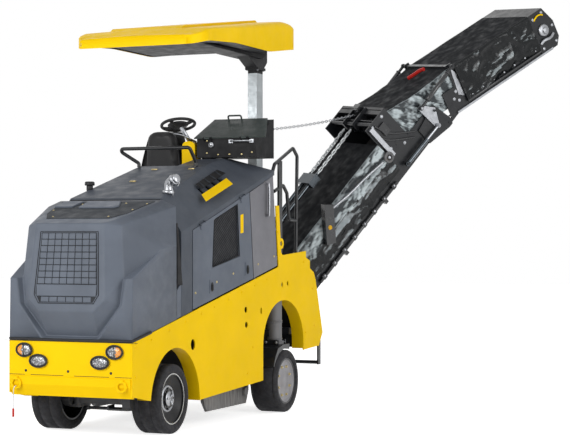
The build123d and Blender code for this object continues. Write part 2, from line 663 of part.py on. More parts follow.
KEEL_DEPTH = 50.0
NOTCH = [(-272, 815), (272, 815), (460, 1047), (485, 1240), (485, 1400), (-485, 1400), (-485, 1240), (-460, 1047)]
KEEL = [(-290, 1005), (290, 1005), (385, 1110), (385, 1400), (-385, 1400), (-385, 1110)]
keel_foot = [(-272, 815), (272, 815), (460, 1047), (460, 1400), (-460, 1400), (-460, 1047)]
skirt, nose = hood_form(0)
skirt = skirt.cut(prism_xz(NOTCH, FRONT_Y - 5, FRONT_Y + KEEL_DEPTH))
keel_front = make_face(Polyline([(x, FRONT_Y + 2, z) for x, z in KEEL], close=True))
keel_back = make_face(Polyline([(x, FRONT_Y + KEEL_DEPTH + 1, z) for x, z in keel_foot], close=True))
keel = loft([keel_back, keel_front], ruled=True)
skirt_in, nose_in = hood_form(HOOD_T)
nose_in = nose_in.cut(block(-900, 900, FRONT_Y - 10, FRONT_Y + KEEL_DEPTH + 24, 500, 1120))
inner = skirt_in.cut(block(-900, 900, FRONT_Y - 10, FRONT_Y + KEEL_DEPTH + 22, 790, 1420)).fuse(nose_in)
hinge_arms = []
hinge_ears = []
hinge_holes = []
for s in (-1, 1):
    x = s * HOOD_HINGE_X
    hinge_arms.append(block(x - 10, x + 10, -60, HOOD_HINGE_Y + 18, HOOD_HINGE_Z - 18, HOOD_HINGE_Z + 14))
    ear_x = s * (HOOD_HINGE_X + 10 + CLEAR + 6)
    hinge_ears.append(block(ear_x - 6, ear_x + 6, HOOD_HINGE_Y - 14, 60, HOOD_HINGE_Z - 14, HOOD_HINGE_Z + 12))
    hinge_ears.append(
        rod((ear_x, HOOD_HINGE_Y, HOOD_HINGE_Z), (s * (HOOD_HINGE_X - 16), HOOD_HINGE_Y, HOOD_HINGE_Z), 16))
    hinge_holes.append(
        rod((s * 150, HOOD_HINGE_Y, HOOD_HINGE_Z), (s * 230, HOOD_HINGE_Y, HOOD_HINGE_Z), 16 + 2 * PIN_PLAY))
hood = skirt.fuse(nose, keel).cut(inner).fuse(*hinge_arms).cut(*hinge_holes)
nodes["hood"] = hood

# Rear fixed part of the hood: slot, pillars and roof, with the cabinet roof under the console
SLOT_IN = 110.0


def roof_section(y, inset):
    """The roof's section at y, from crease to crease, moved inwards by an inset."""
    edge = half_width(y) - 4 - inset
    crease = crease_z(y) - inset * 0.4
    top = hood_top_z(y) - inset
    shoulder = 430 - 0.085 * y - inset * 0.7
    return [(edge, crease), (shoulder, top), (-shoulder, top), (-edge, crease)]


def roof_shell(y0, y1, thick):
    """A roof with two slanted sides between two stations, open below."""
    faces = []
    for y in (y0, y1):
        outer = roof_section(y, 0)
        inner = roof_section(y, thick)
        points = outer + [(-(half_width(y) - 4), crease_z(y) - 40), (-(half_width(y) - 4 - thick), crease_z(y) - 40)]
        points += inner[::-1] + [(half_width(y) - 4 - thick, crease_z(y) - 40), (half_width(y) - 4, crease_z(y) - 40)]
        faces.append(make_face(Polyline([(x, y, z) for x, z in points], close=True)))
    return loft(faces, ruled=True)


def band(y0, y1, z_low, z_top, inset, thick):
    """An upright strip of the hood's side between two stations."""
    profile = outline([(y0, z_low(y0)), (y1, z_low(y1)), (y1, z_top(y1)), (y0, z_top(y0))])
    return side_plate(profile, thick, proud=-4 - inset)


# Hinges of the doors: an eye on the door turns on a pin between two ears
HINGE_PIN_D = 8.0
HINGE_EYE_D = 16.0
HINGE_EYE_L = 60.0
HINGE_DROP = 43.0
HINGE_PROUD = 9.0
HINGE_YS = (DOOR_Y0 + 140, DOOR_Y1 - 140)
crease_tilt = math.degrees(math.atan(CREASE_SLOPE))


def on_crease(y):
    """A frame on the side door's hinge line at y: X along the line, Y up, Z out."""
    return SIDE_PLANE.location * Pos(y, crease_z(y) - HINGE_DROP, HINGE_PROUD) * Rot(0, 0, crease_tilt)


def hinge_pins():
    """The fixed pins and ears of the side door's hinges."""
    pieces = []
    for y in HINGE_YS:
        reach = HINGE_EYE_L / 2 + CLEAR
        pieces.append(on_crease(y) * rod((-reach - 8, 0, 0), (reach + 8, 0, 0), HINGE_PIN_D))
        for s in (-1, 1):
            x0 = s * reach
            x1 = s * (reach + 10)
            pieces.append(on_crease(y) * block(min(x0, x1), max(x0, x1), 2, 18, -HINGE_PROUD - 8, 5))
    return pieces


def hinge_eyes():
    """The eyes and leaves of the side door's hinges, and the holes for the pins."""
    eyes = []
    holes = []
    half = HINGE_EYE_L / 2
    for y in HINGE_YS:
        eyes.append(on_crease(y) * rod((-half, 0, 0), (half, 0, 0), HINGE_EYE_D))
        eyes.append(on_crease(y) * block(-half, half, -40, -3, -HINGE_PROUD - 6, -HINGE_PROUD + 4))
        holes.append(on_crease(y) * rod((-half - 5, 0, 0), (half + 5, 0, 0), HINGE_PIN_D + 2 * PIN_PLAY))
    return eyes, holes


pillar_y0 = HOOD_REAR_Y + SLOT_W
roof = roof_shell(pillar_y0, ROOF_REAR_Y, HOOD_T)
pillar = band(pillar_y0, DOOR_Y0 - DOOR_GAP, lambda y: seam_z(y) + 6, lambda y: crease_z(y) - 10, 0, 60)
sill = band(DOOR_Y0 - DOOR_GAP - 20, REAR_DOOR_Y_LOW - 4, lambda y: seam_z(y) + 6, lambda y: seam_z(y) + 90, 34, 30)
side_pins = hinge_pins()
side_pins += [mirrored(pin) for pin in side_pins]
hood_rear = roof.fuse(pillar, mirrored(pillar), sill, mirrored(sill), *side_pins)
slot_back = block(-half_width(0) + SLOT_IN, half_width(0) - SLOT_IN, HOOD_REAR_Y + 46, pillar_y0 + 20, 1000, 1850)
hood_rear = hood_rear.fuse(slot_back, *hinge_ears)
# Louvres in the roof's left and right slopes
for side in (1, -1):
    for k in range(4):
        y = 700 + k * 118
        x = (half_width(y) + 430 - 0.085 * y) / 2 - 10
        z = (crease_z(y) + hood_top_z(y)) / 2
        cut = Pos(side * x, y, z) * Rot(0, side * 52, 0) * Box(120, 62, 90)
        hood_rear = hood_rear.cut(cut)
CAB_TOP_Z = 2278.0
cab_faces = []
for y in (ROOF_REAR_Y - 10, 1500, 1700):
    edge = half_width(y) - 4
    crease = crease_z(y)
    top = min(hood_top_z(y), CAB_TOP_Z)
    points = [
        (CABINET_X, top), (320, top), (edge, crease), (edge, crease - 40), (edge - HOOD_T, crease - 40),
        (edge - HOOD_T, crease - 8), (312, top - HOOD_T), (CABINET_X, top - HOOD_T)]
    cab_faces.append(make_face(Polyline([(x, y, z) for x, z in points], close=True)))
cab_roof = loft(cab_faces, ruled=True)
cab_back = prism_xz([
    (CABINET_X, DECK_Z + SEAT_GAP), (half_width(1690) - DOOR_T - 30, DECK_Z + SEAT_GAP),
    (half_width(1690) - DOOR_T - 30, 2165), (312, CAB_TOP_Z - 14), (CABINET_X, CAB_TOP_Z - 14)], 1660, 1684)
cab_side = prism_yz([
    (1202, DECK_Z + SEAT_GAP), (1684, DECK_Z + SEAT_GAP), (1684, CAB_TOP_Z - 14), (1500, CAB_TOP_Z - 14),
    (1202, CAB_TOP_Z - 75)], CABINET_X, CABINET_X + 20)
# Pivot pins of the rear door: one reaches down from the roof's lip, one up from a bracket on the sill
REAR_PIVOT_IN = 15.0
REAR_PIVOT_DEPTH = -4 - DOOR_T / 2
REAR_PIVOT_D = 8.0
pivot_low = (DOOR_Y1_LOW + DOOR_GAP + REAR_PIVOT_IN, seam_z(DOOR_Y1_LOW) + 16)
pivot_high = (DOOR_Y1 + DOOR_GAP + REAR_PIVOT_IN, crease_z(DOOR_Y1) - 40)
pivot_way = (Vector(*pivot_high) - Vector(*pivot_low)).normalized()


def pivot_rod(base, low, high, diameter):
    """A rod on the rear door's pivot line between two distances from a base point."""
    a = Vector(*base) + pivot_way * low
    b = Vector(*base) + pivot_way * high
    return SIDE_PLANE.location * rod((a.X, a.Y, REAR_PIVOT_DEPTH), (b.X, b.Y, REAR_PIVOT_DEPTH), diameter)


top_pin = pivot_rod(pivot_high, -30, 14, REAR_PIVOT_D)
low_pin = pivot_rod(pivot_low, -9, 24, REAR_PIVOT_D)
low_y = pivot_low[0]
low_bracket = side_plate(outline([
    (low_y - 20, seam_z(low_y - 20) + 2), (low_y + 20, seam_z(low_y + 20) + 2),
    (low_y + 20, seam_z(low_y + 20) + 8), (low_y - 20, seam_z(low_y - 20) + 8)]), 40, proud=-6)
hood_rear = hood_rear.fuse(cab_roof, cab_back, cab_side, top_pin, low_pin, low_bracket)
nodes["hood_rear"] = hood_rear

# Side doors with a mesh grille, and the rear left door with its handle
MESH = [(590, 1320), (1070, 1412), (1030, 1866), (620, 1724)]


def side_door():
    """The middle door of the left side, hung at its top edge, with a mesh window and two latches."""
    face = outline([
        (DOOR_Y0, seam_z(DOOR_Y0) + 14), (DOOR_Y1_LOW, seam_z(DOOR_Y1_LOW) + 14),
        (DOOR_Y1, crease_z(DOOR_Y1) - 46), (DOOR_Y0, crease_z(DOOR_Y0) - 46)])
    window = outline(MESH)
    leaf = side_plate(face - window, DOOR_T, proud=-4)
    mesh = side_plate(window, 6, proud=-16)
    bars = side_plate(outline([(592, 1330), (612, 1334), (640, 1752), (624, 1746)]), 10, proud=-8)
    latches = side_plate(Pos(580, 1165) * Rectangle(70, 110), 8, proud=0)
    latches = latches.fuse(side_plate(Pos(1195, 1300) * Rectangle(70, 110), 8, proud=0))
    eyes, holes = hinge_eyes()
    return leaf.fuse(mesh, bars, latches, *eyes).cut(*holes)


nodes["side_door_left"] = side_door()
nodes["side_door_right"] = mirrored(nodes["side_door_left"])
rear_face = outline([
    (DOOR_Y1_LOW + DOOR_GAP, seam_z(DOOR_Y1_LOW) + 16), (REAR_DOOR_Y_LOW - 8, seam_z(REAR_DOOR_Y_LOW) + 14),
    (REAR_DOOR_Y - 10, crease_z(REAR_DOOR_Y) - 46), (DOOR_Y1 + DOOR_GAP, crease_z(DOOR_Y1) - 46)])
rear_leaf = side_plate(rear_face, DOOR_T, proud=-4)
handle = side_plate(Pos(1550, 1910) * Rectangle(22, 300), 14, proud=34)
handle_feet = [side_plate(Pos(1550, 1910 + dz) * Rectangle(22, 24), 30, proud=26) for dz in (-138, 138)]
pivot_bores = [
    pivot_rod(pivot_high, -38, 14, REAR_PIVOT_D + 2 * PIN_PLAY),
    pivot_rod(pivot_low, -12, 32, REAR_PIVOT_D + 2 * PIN_PLAY)]
nodes["rear_door_left"] = rear_leaf.fuse(handle, *handle_feet).cut(*pivot_bores)
blank = outline([
    (DOOR_Y1_LOW + DOOR_GAP, seam_z(DOOR_Y1_LOW) + 10), (REAR_DOOR_Y_LOW - 8, seam_z(REAR_DOOR_Y_LOW) + 10),
    (REAR_DOOR_Y_LOW - 8, DECK_Z + 110), (DOOR_Y1_LOW + DOOR_GAP, DECK_Z + 110)])
nodes["side_wall_right"] = mirrored(side_plate(blank, 34 - SEAT_GAP, proud=-4))

# Deck: a grating platform behind the hood
deck_end = REAR_WALL_Y + WALL_T


def deck_reach(y, inset):
    """Half width of the deck at y, an inset inside the side panels' outer faces."""
    return half_width(y) - inset


wall_gap = PANEL_T + 2 * SEAT_GAP
deck = prism_xy([
    (-deck_reach(1202, 74), 1202), (CABINET_X - 2, 1202), (CABINET_X - 2, 1690), (deck_reach(1690, 76), 1690),
    (deck_reach(1790, 76), 1790), (deck_reach(1790, wall_gap), 1790), (deck_reach(deck_end, wall_gap), deck_end),
    (-deck_reach(deck_end, wall_gap), deck_end), (-deck_reach(1790, wall_gap), 1790),
    (-deck_reach(1790, 76), 1790)],
    DECK_Z - DECK_T + SEAT_GAP, DECK_Z)
deck = deck.cut(block(MAST_X - 95, MAST_X + 95, MAST_Y - 90, REAR_WALL_Y + 60, DECK_Z - 60, DECK_Z + 10))
grate_cuts = [
    block(x, x + 46, REAR_WALL_Y - 450, REAR_WALL_Y - 180, DECK_Z - 60, DECK_Z + 10) for x in range(-480, 200, 62)]
nodes["deck"] = deck.cut(*grate_cuts)

# Hanging step at the rear
step_x = half_width(BODY_REAR_Y) - PANEL_T - SEAT_GAP
STEP_Y = BODY_REAR_Y + 30
links = [block(min(s * step_x, s * (step_x - 14)), max(s * step_x, s * (step_x - 14)),
               STEP_Y - 30, STEP_Y + 30, 380, 700) for s in (-1, 1)]
rung = rod((-step_x + 4, STEP_Y, 400), (step_x - 4, STEP_Y, 400), 34)
nodes["rear_step"] = rung.fuse(*links)

# Handrails
RAIL_D = 32.0
rail_x = half_width(WHEELBASE - 10) - 60
rail_end = REAR_WALL_Y
rail_points = [(rail_x, rail_end - 560, 2150), (rail_x, rail_end - 500, 2235), (rail_x, rail_end - 70, 2400),
               (rail_x, rail_end + 30, 2330), (rail_x + 4, rail_end - 10, 1450),
               (rail_x + 4, rail_end - 10, DECK_Z + SEAT_GAP)]
inner_points = [(rail_x - 6, rail_end - 500, 1990), (rail_x - 6, rail_end - 290, 2050),
                (rail_x - 6, rail_end - 200, 1980), (rail_x - 6, rail_end - 150, 1740), (rail_x - 2, rail_end + 8, 1730)]
rear_rail = tube_path(rail_points, 28, RAIL_D)
inner_rail = tube_path(inner_points, 28, RAIL_D)
flat_post = block(rail_x - 8, rail_x + 8, rail_end - 420, rail_end - 340, DECK_Z + SEAT_GAP, 2270)
guard_z = hood_top_z(1100 + RAIL_D / 2) + SEAT_GAP
guard = tube_path(
    [(-315, 1100, guard_z), (-315, 1100, guard_z + 34), (-490, 1010, guard_z + 160), (225, 1010, guard_z + 160),
     (245, 1100, guard_z + 34), (245, 1100, guard_z)], 26, RAIL_D)
right_x = -deck_reach(1480, 100)
right_rail = tube_path(
    [(right_x, 1480, DECK_Z + SEAT_GAP), (right_x, 1480, 2050), (right_x, 1680, 2050),
     (right_x, 1680, DECK_Z + SEAT_GAP)], 40, RAIL_D)
nodes["handrails"] = joined([rear_rail.fuse(inner_rail, flat_post), guard, right_rail])

# Seat on its pedestal, at the machine's right edge
seat_pan = block(SEAT_X - SEAT_W / 2, SEAT_X + SEAT_W / 2, SEAT_Y - 250, SEAT_Y + 180, SEAT_Z - 90, SEAT_Z)
seat_pan = fillet(seat_pan.edges().filter_by(Axis.Z), 60)
seat_back = block(SEAT_X - SEAT_W / 2, SEAT_X + SEAT_W / 2, SEAT_Y + 150, SEAT_Y + 240, SEAT_Z - 60, SEAT_BACK_Z)
seat_back = fillet(seat_back.edges().filter_by(Axis.Y), 60)
nodes["seat"] = seat_pan.fuse(seat_back)
seat_foot = block(SEAT_X - 120, SEAT_X + 140, SEAT_Y - 130, SEAT_Y + 110, DECK_Z + SEAT_GAP, DECK_Z + 30)
seat_post = block(SEAT_X - 80, SEAT_X + 80, SEAT_Y - 90, SEAT_Y + 70, DECK_Z + 20, SEAT_Z - 90 - SEAT_GAP)
nodes["seat_pedestal"] = seat_foot.fuse(seat_post)

# Console, its lid, control pod and steering wheel
console = prism_yz([
    (CONSOLE_Y0, CONSOLE_Z0), (CONSOLE_Y1, CONSOLE_Z0), (CONSOLE_Y1, CONSOLE_Z1 + LID_RISE),
    (CONSOLE_Y0, CONSOLE_Z1)], CONSOLE_X0, CONSOLE_X1)
column_arm = rod((CONSOLE_X0 + 5, 1600, 2380), (-40, 1560, 2440), 44)
column_low = Vector(-40, 1560, 2440)
column_top = Vector(-100, 1480, 2585)
column_way = (column_top - column_low).normalized()
column = rod(column_low, column_top, 30)
foot = block(CONSOLE_X0 + 20, CONSOLE_X0 + 120, 1560, 1650, CAB_TOP_Z + SEAT_GAP, CONSOLE_Z0 + 5)
foot2 = block(280, 300, 1560, 1650, CAB_TOP_Z + SEAT_GAP, CONSOLE_Z0 + 5)
lid_angle = math.degrees(math.atan2(LID_RISE, CONSOLE_Y1 - CONSOLE_Y0))
lid_len = math.hypot(LID_RISE, CONSOLE_Y1 - CONSOLE_Y0)
lid_plane = Plane(origin=(0, CONSOLE_Y1, CONSOLE_Z1 + LID_RISE + 6), x_dir=(1, 0, 0),
                  z_dir=(0, -LID_RISE, CONSOLE_Y1 - CONSOLE_Y0))
lid_face = make_face(Polyline([
    (CONSOLE_X0 - 10, 0), (CONSOLE_X1 - 60, 0), (CONSOLE_X1 + 100, -lid_len - 20), (CONSOLE_X0 - 20, -lid_len - 20),
], close=True))
# The lid turns on two pins that console ears carry in front of its front edge
LID_HINGE_D = 12.0
lid_hinge_y = -lid_len - 20
lid_eyes = []
lid_ears = []
for x in (CONSOLE_X0 + 110, CONSOLE_X1 - 110):
    eye = rod((x - 24, lid_hinge_y, 5), (x + 24, lid_hinge_y, 5), 24)
    lid_eyes.append(eye)
    lid_ears.append(rod((x - 40, lid_hinge_y, 5), (x + 40, lid_hinge_y, 5), LID_HINGE_D))
    for s in (-1, 1):
        x0 = x + s * (24 + CLEAR)
        x1 = x + s * (24 + CLEAR + 8)
        lid_ears.append(block(min(x0, x1), max(x0, x1), lid_hinge_y - 12, lid_hinge_y + 28, -24, -CLEAR))
        lid_ears.append(block(min(x0, x1), max(x0, x1), lid_hinge_y - 12, lid_hinge_y - 2, -24, 12))
lid_bore = rod((CONSOLE_X0, lid_hinge_y, 5), (CONSOLE_X1, lid_hinge_y, 5), LID_HINGE_D + 2 * PIN_PLAY)
lid_gaps = [block(x - 44, x - 24, lid_hinge_y - 20, lid_hinge_y + 20, -1, 11) for x in (
    CONSOLE_X0 + 110, CONSOLE_X1 - 110)]
lid_gaps += [block(x + 24, x + 44, lid_hinge_y - 20, lid_hinge_y + 20, -1, 11) for x in (
    CONSOLE_X0 + 110, CONSOLE_X1 - 110)]
lid = extrude(lid_face, 10, dir=(0, 0, 1)).cut(*lid_gaps).fuse(*lid_eyes).cut(lid_bore)
lid = lid_plane * lid
ear_set = [lid_plane * ear for ear in lid_ears]
nodes["console"] = console.fuse(column_arm, column, foot, foot2, *ear_set)
lid_bar = lid_plane * tube_path([(200, -20, 5), (200, -20, 50), (330, -20, 50), (330, -20, 5)], 15, 16)
nodes["console_lid"] = lid.fuse(lid_bar)
pod = block(-90, CABINET_X - 3, 1500, 1640, 2200, 2440)
pod = fillet(pod.edges().filter_by(Axis.Y).sort_by(Axis.Z)[-2:], 50)
pod_foot = block(-90, CABINET_X - 3, 1540, 1600, DECK_Z + SEAT_GAP, 2210)
nodes["control_pod"] = pod.fuse(pod_foot).cut(rod((CONSOLE_X0 + 5, 1600, 2380), (-40, 1560, 2440), 52),
                                             rod((-40, 1560, 2440), (-100, 1480, 2585), 40))
wheel_plane = Plane(origin=column_top + column_way * (15 + SEAT_GAP), z_dir=column_way)
ring = Torus(STEER_WHEEL_D / 2 - 14, 14)
spokes = [Rot(0, 0, a) * Pos(72, 0, -4) * Box(150, 26, 10) for a in (90, 210, 330)]
wheel_hub = Pos(0, 0, -4) * Cylinder(30, 22)
nodes["steering_wheel"] = wheel_plane * ring.fuse(wheel_hub, *spokes)

# Canopy on its mast
mast = block(MAST_X - MAST_A / 2, MAST_X + MAST_A / 2, MAST_Y - MAST_B / 2, MAST_Y + MAST_B / 2,
             MAST_FOOT_Z, MAST_TOP_Z)
head_arm = prism_yz([
    (MAST_Y - 520, MAST_TOP_Z), (MAST_Y + 160, MAST_TOP_Z), (MAST_Y + 160, MAST_TOP_Z - 65),
    (MAST_Y + 20, MAST_TOP_Z - 125), (MAST_Y - 70, MAST_TOP_Z - 125)], MAST_X - 60, MAST_X + 60)
cross_arm = block(-300, MAST_X, MAST_Y - 80, MAST_Y + 40, MAST_TOP_Z - 40, MAST_TOP_Z)
nodes["mast"] = mast.fuse(head_arm, cross_arm)
TOP = MAST_TOP_Z
CANOPY_LOW = [
    (CANOPY_Y0, TOP - 50), (CANOPY_Y0 + 230, TOP), (1150, TOP + 47), (1900, TOP + 47), (CANOPY_Y1, TOP + 130)]
CANOPY_HIGH = [(CANOPY_Y1, TOP + 345), (CANOPY_Y1 - 120, TOP + 375), (CANOPY_Y0 + 130, TOP + 110),
               (CANOPY_Y0, TOP + 75)]
shell_side = prism_yz(CANOPY_LOW + CANOPY_HIGH, -CANOPY_HALF_W, CANOPY_HALF_W)
plan = [(-480, CANOPY_Y0), (480, CANOPY_Y0), (CANOPY_HALF_W, CANOPY_Y0 + 200), (CANOPY_HALF_W, CANOPY_Y1 - 60),
        (CANOPY_HALF_W - 60, CANOPY_Y1), (-CANOPY_HALF_W + 60, CANOPY_Y1), (-CANOPY_HALF_W, CANOPY_Y1 - 60),
        (-CANOPY_HALF_W, CANOPY_Y0 + 200)]
shell = shell_side & prism_xy(plan, TOP - 215, TOP + 485)
front_profile = prism_xz([
    (-CANOPY_HALF_W, TOP - 115), (CANOPY_HALF_W, TOP - 115), (CANOPY_HALF_W, TOP + 185),
    (CANOPY_HALF_W - 150, TOP + 425), (-CANOPY_HALF_W + 150, TOP + 425), (-CANOPY_HALF_W, TOP + 185)], 0, 3000)
shell = shell & front_profile
belly = prism_yz([
    (CANOPY_Y0 + 30, TOP - 115), (CANOPY_Y0 + 30, TOP + 35), (CANOPY_Y0 + 160, TOP + 75),
    (CANOPY_Y1 - 160, TOP + 305), (CANOPY_Y1 - 40, TOP + 285), (CANOPY_Y1 - 40, TOP - 115)],
    -CANOPY_HALF_W + 170, CANOPY_HALF_W - 170)
belly2 = prism_yz([
    (CANOPY_Y0 + 60, TOP - 115), (CANOPY_Y0 + 60, TOP + 5), (CANOPY_Y1 - 60, TOP + 165), (CANOPY_Y1 - 60, TOP - 115)],
    -CANOPY_HALF_W + CANOPY_T, CANOPY_HALF_W - CANOPY_T)
shell = shell.cut(belly, belly2)
hat = block(MAST_X - 60, MAST_X + 60, MAST_Y - 500, MAST_Y + 140, TOP + SEAT_GAP, TOP + 245)
shell = shell.fuse(hat)
nodes["canopy"] = shell

# Conveyor frames: local X runs across to the machine's left, Y along the belt, Z off the belt
turn = slew_frame * Rot(0, 0, -SLEW_REST)


def conveyor_frame(angle, start):
    """A frame whose Y runs along the belt at an angle above the slewing plane."""
    return turn * Pos(*start) * Rot(angle, 0, 0)


lower_at = conveyor_frame(LIFT_REST, (0, BASE_OFFSET, BASE_RISE))
upper_at = lower_at * Pos(0, FOLD_U, FOLD_N) * Rot(FOLD_REST - LIFT_REST, 0, 0) * Pos(0, 0, -FOLD_N)
half_belt = BELT_FRAME_W / 2


def side_rails(start, end, top):
    """Two side plates of a conveyor section, with flanges below."""
    pieces = []
    for s in (-1, 1):
        x0 = s * (half_belt - 12)
        x1 = s * half_belt
        pieces.append(block(min(x0, x1), max(x0, x1), start, end, 0, top))
        x2 = s * (half_belt - 50)
        pieces.append(block(min(x2, x1), max(x2, x1), start, end, 0, 12))
    return pieces


def rollers(start, count, pitch, z):
    """Idler rollers across the frame that carry the belt's return run."""
    return [rod((-half_belt + 6, start + k * pitch, z), (half_belt - 6, start + k * pitch, z), 44)
            for k in range(count)]


def belt_loop(start, end, r, z):
    """An endless belt with cleats between two end drums."""
    width = BELT_FRAME_W - 120
    outer = Pos(0, 0, 0) * make_face(
        Polyline([(0, start, z - r), (0, end, z - r), (0, end, z + r), (0, start, z + r)], close=True))
    body = extrude(outer, width / 2, both=True, dir=(1, 0, 0))
    ends = [rod((-width / 2, y, z), (width / 2, y, z), 2 * r) for y in (start, end)]
    inner = block(-width, width, start, end, z - r + 12, z + r - 12)
    holes = [rod((-width, y, z), (width, y, z), 2 * r - 24) for y in (start, end)]
    count = int((end - start) // 260)
    cleats = [block(-width / 2 + 20, width / 2 - 20, start + 130 + k * 260, start + 142 + k * 260, z + r - 2, z + r + 34)
              for k in range(count)]
    return body.fuse(*ends).cut(inner, *holes).fuse(*cleats)


BELT_Z = 120.0
BELT_R = 74.0
end_drum_d = 2 * (BELT_R - 12) - 2 * SEAT_GAP
lower_parts = side_rails(LOWER_START, LOWER_END, BELT_FRAME_H)
lower_parts += [rod((-half_belt + 2, y, BELT_Z), (half_belt - 2, y, BELT_Z), end_drum_d)
                for y in (LOWER_START + 110, LOWER_END - 120)]
lower_parts += [block(-half_belt + 2, half_belt - 2, y, y + 50, 2, 34) for y in (700, 1300, 1900)]
# Portal over the cover that carries the lifting lug
for s in (-1, 1):
    x0 = s * half_belt
    x1 = s * (half_belt - 12)
    lower_parts.append(block(min(x0, x1), max(x0, x1), 2020, 2330, 200, 640))
portal = block(-half_belt, half_belt, 2300, 2330, COVER_H + 60, 640)
for x in (-240, -120, 120, 240):
    portal = portal.cut(rod((x, 2290, 570), (x, 2340, 570), 60))
lug_plates = [block(x - 9, x + 9, LIFT_LUG_U - 40, 2310, LIFT_LUG_N - 46, LIFT_LUG_N + 46) for x in (-92, 92)]
lug_bar = rod((-half_belt + 4, LIFT_LUG_U, LIFT_LUG_N), (half_belt - 4, LIFT_LUG_U, LIFT_LUG_N), 40)
beam = block(-half_belt, half_belt, 2240, 2290, 600, 640)
lower_parts += [portal, *lug_plates, beam, lug_bar]
# Fold hinge ears at the end of the lower section, outside the upper section's plates
for s in (-1, 1):
    x0 = s * half_belt
    x1 = s * (half_belt + 20)
    face = make_face(Polyline([
        (0, 2440, 0), (0, 2440, 190), (0, CRANK_U + 40, CRANK_N + 40), (0, FOLD_U + 40, 0), (0, FOLD_U + 20, FOLD_N - 34),
        (0, FOLD_U - 30, FOLD_N - 34)], close=True))
    ear = Pos(min(x0, x1), 0, 0) * extrude(face, 20, dir=(1, 0, 0))
    hole = rod((-600, FOLD_U, FOLD_N), (600, FOLD_U, FOLD_N), PIN_D + 2 * PIN_PLAY)
    lower_parts.append(ear.cut(hole))
    pin_out = s * (half_belt + 56)
    lower_parts.append(rod((s * half_belt, CRANK_U, CRANK_N), (pin_out, CRANK_U, CRANK_N), PIN_D))
    lower_parts.append(rod((s * half_belt, FOLD_ANCHOR_U, FOLD_ANCHOR_N),
                           (s * (half_belt + 76), FOLD_ANCHOR_U, FOLD_ANCHOR_N), PIN_D))
lift_hole = rod((-600, LIFT_PIVOT_U, LIFT_PIVOT_N), (600, LIFT_PIVOT_U, LIFT_PIVOT_N), 40 + 2 * PIN_PLAY)
lower_frame = lower_parts[0].fuse(*lower_parts[1:]).cut(lift_hole)
nodes["lower_frame"] = lower_at * lower_frame
nodes["lower_belt"] = lower_at * belt_loop(LOWER_START + 110, LOWER_END - 120, BELT_R, BELT_Z)
lower_cover = prism_yz([
    (LOWER_START + 250, BELT_FRAME_H + SEAT_GAP), (LOWER_START + 300, COVER_H), (2010, COVER_H),
    (2010, BELT_FRAME_H + SEAT_GAP)], -half_belt, half_belt)
lower_hollow = prism_yz([
    (LOWER_START + 200, BELT_FRAME_H - 10), (LOWER_START + 290, COVER_H - 16), (2040, COVER_H - 16),
    (2040, BELT_FRAME_H - 10)], -half_belt + 16, half_belt - 16)
nodes["lower_cover"] = lower_at * lower_cover.cut(lower_hollow)

# Upper section: frame, belt, cover and head
upper_parts = side_rails(UPPER_START, UPPER_END - 60, BELT_FRAME_H)
upper_parts += [rod((-half_belt + 2, y, BELT_Z), (half_belt - 2, y, BELT_Z), end_drum_d)
                for y in (UPPER_START + 110, UPPER_END - 130)]
upper_parts += [block(-half_belt + 2, half_belt - 2, y, y + 50, 2, 34) for y in (400, 1000)]
for s in (-1, 1):
    x0 = s * (half_belt - 16)
    x1 = s * (half_belt - 2)
    face = make_face(Polyline([
        (0, UPPER_START + 80, 4), (0, UPPER_START, -4), (0, -26, FOLD_N - 26), (0, 26, FOLD_N - 26),
        (0, UPPER_START + 130, 0)], close=True))
    upper_parts.append(Pos(min(x0, x1), 0, 0) * extrude(face, 14, dir=(1, 0, 0)))
    upper_parts.append(rod((s * (half_belt - 10), 0, FOLD_N), (s * (half_belt + 26), 0, FOLD_N), PIN_D))
    lug_face = make_face(Polyline([
        (0, LUG_U - 40, BELT_FRAME_H - 30), (0, LUG_U + 70, BELT_FRAME_H - 30), (0, LUG_U + 34, LUG_N + 24),
        (0, LUG_U - 26, LUG_N + 24)], close=True))
    upper_parts.append(Pos(min(s * (half_belt - 12), s * half_belt), 0, 0) * extrude(lug_face, 12, dir=(1, 0, 0)))
    upper_parts.append(rod((s * (half_belt - 10), LUG_U, LUG_N), (s * (half_belt + 30), LUG_U, LUG_N), PIN_D))
lug_bridge = block(-half_belt + 6, half_belt - 6, LUG_U - 20, LUG_U + 20, LUG_N - 30, LUG_N + 10)
upper_parts.append(lug_bridge)
head = prism_yz([
    (UPPER_END - 240, 0), (UPPER_END - 20, 0), (UPPER_END + 40, 80), (UPPER_END + 40, 260), (UPPER_END - 40, COVER_H),
    (UPPER_END - 240, COVER_H)], -half_belt - 12, half_belt + 12)
head_in = prism_yz([
    (UPPER_END - 300, -10), (UPPER_END - 60, -10), (UPPER_END + 60, 60), (UPPER_END + 60, 280),
    (UPPER_END - 50, COVER_H - 16), (UPPER_END - 300, COVER_H - 16)], -half_belt, half_belt)
upper_parts.append(head.cut(head_in))
upper_frame = upper_parts[0].fuse(*upper_parts[1:])
nodes["upper_frame"] = upper_at * upper_frame
nodes["upper_belt"] = upper_at * belt_loop(UPPER_START + 110, UPPER_END - 130, BELT_R, BELT_Z)
upper_cover = prism_yz([
    (LUG_U + 100, BELT_FRAME_H + SEAT_GAP), (LUG_U + 130, COVER_H), (UPPER_END - 242, COVER_H),
    (UPPER_END - 242, BELT_FRAME_H + SEAT_GAP)], -half_belt, half_belt)
upper_hollow = prism_yz([
    (LUG_U + 60, BELT_FRAME_H - 10), (LUG_U + 120, COVER_H - 16), (UPPER_END, COVER_H - 16),
    (UPPER_END, BELT_FRAME_H - 10)], -half_belt + 16, half_belt - 16)
nodes["upper_cover"] = upper_at * upper_cover.cut(upper_hollow)

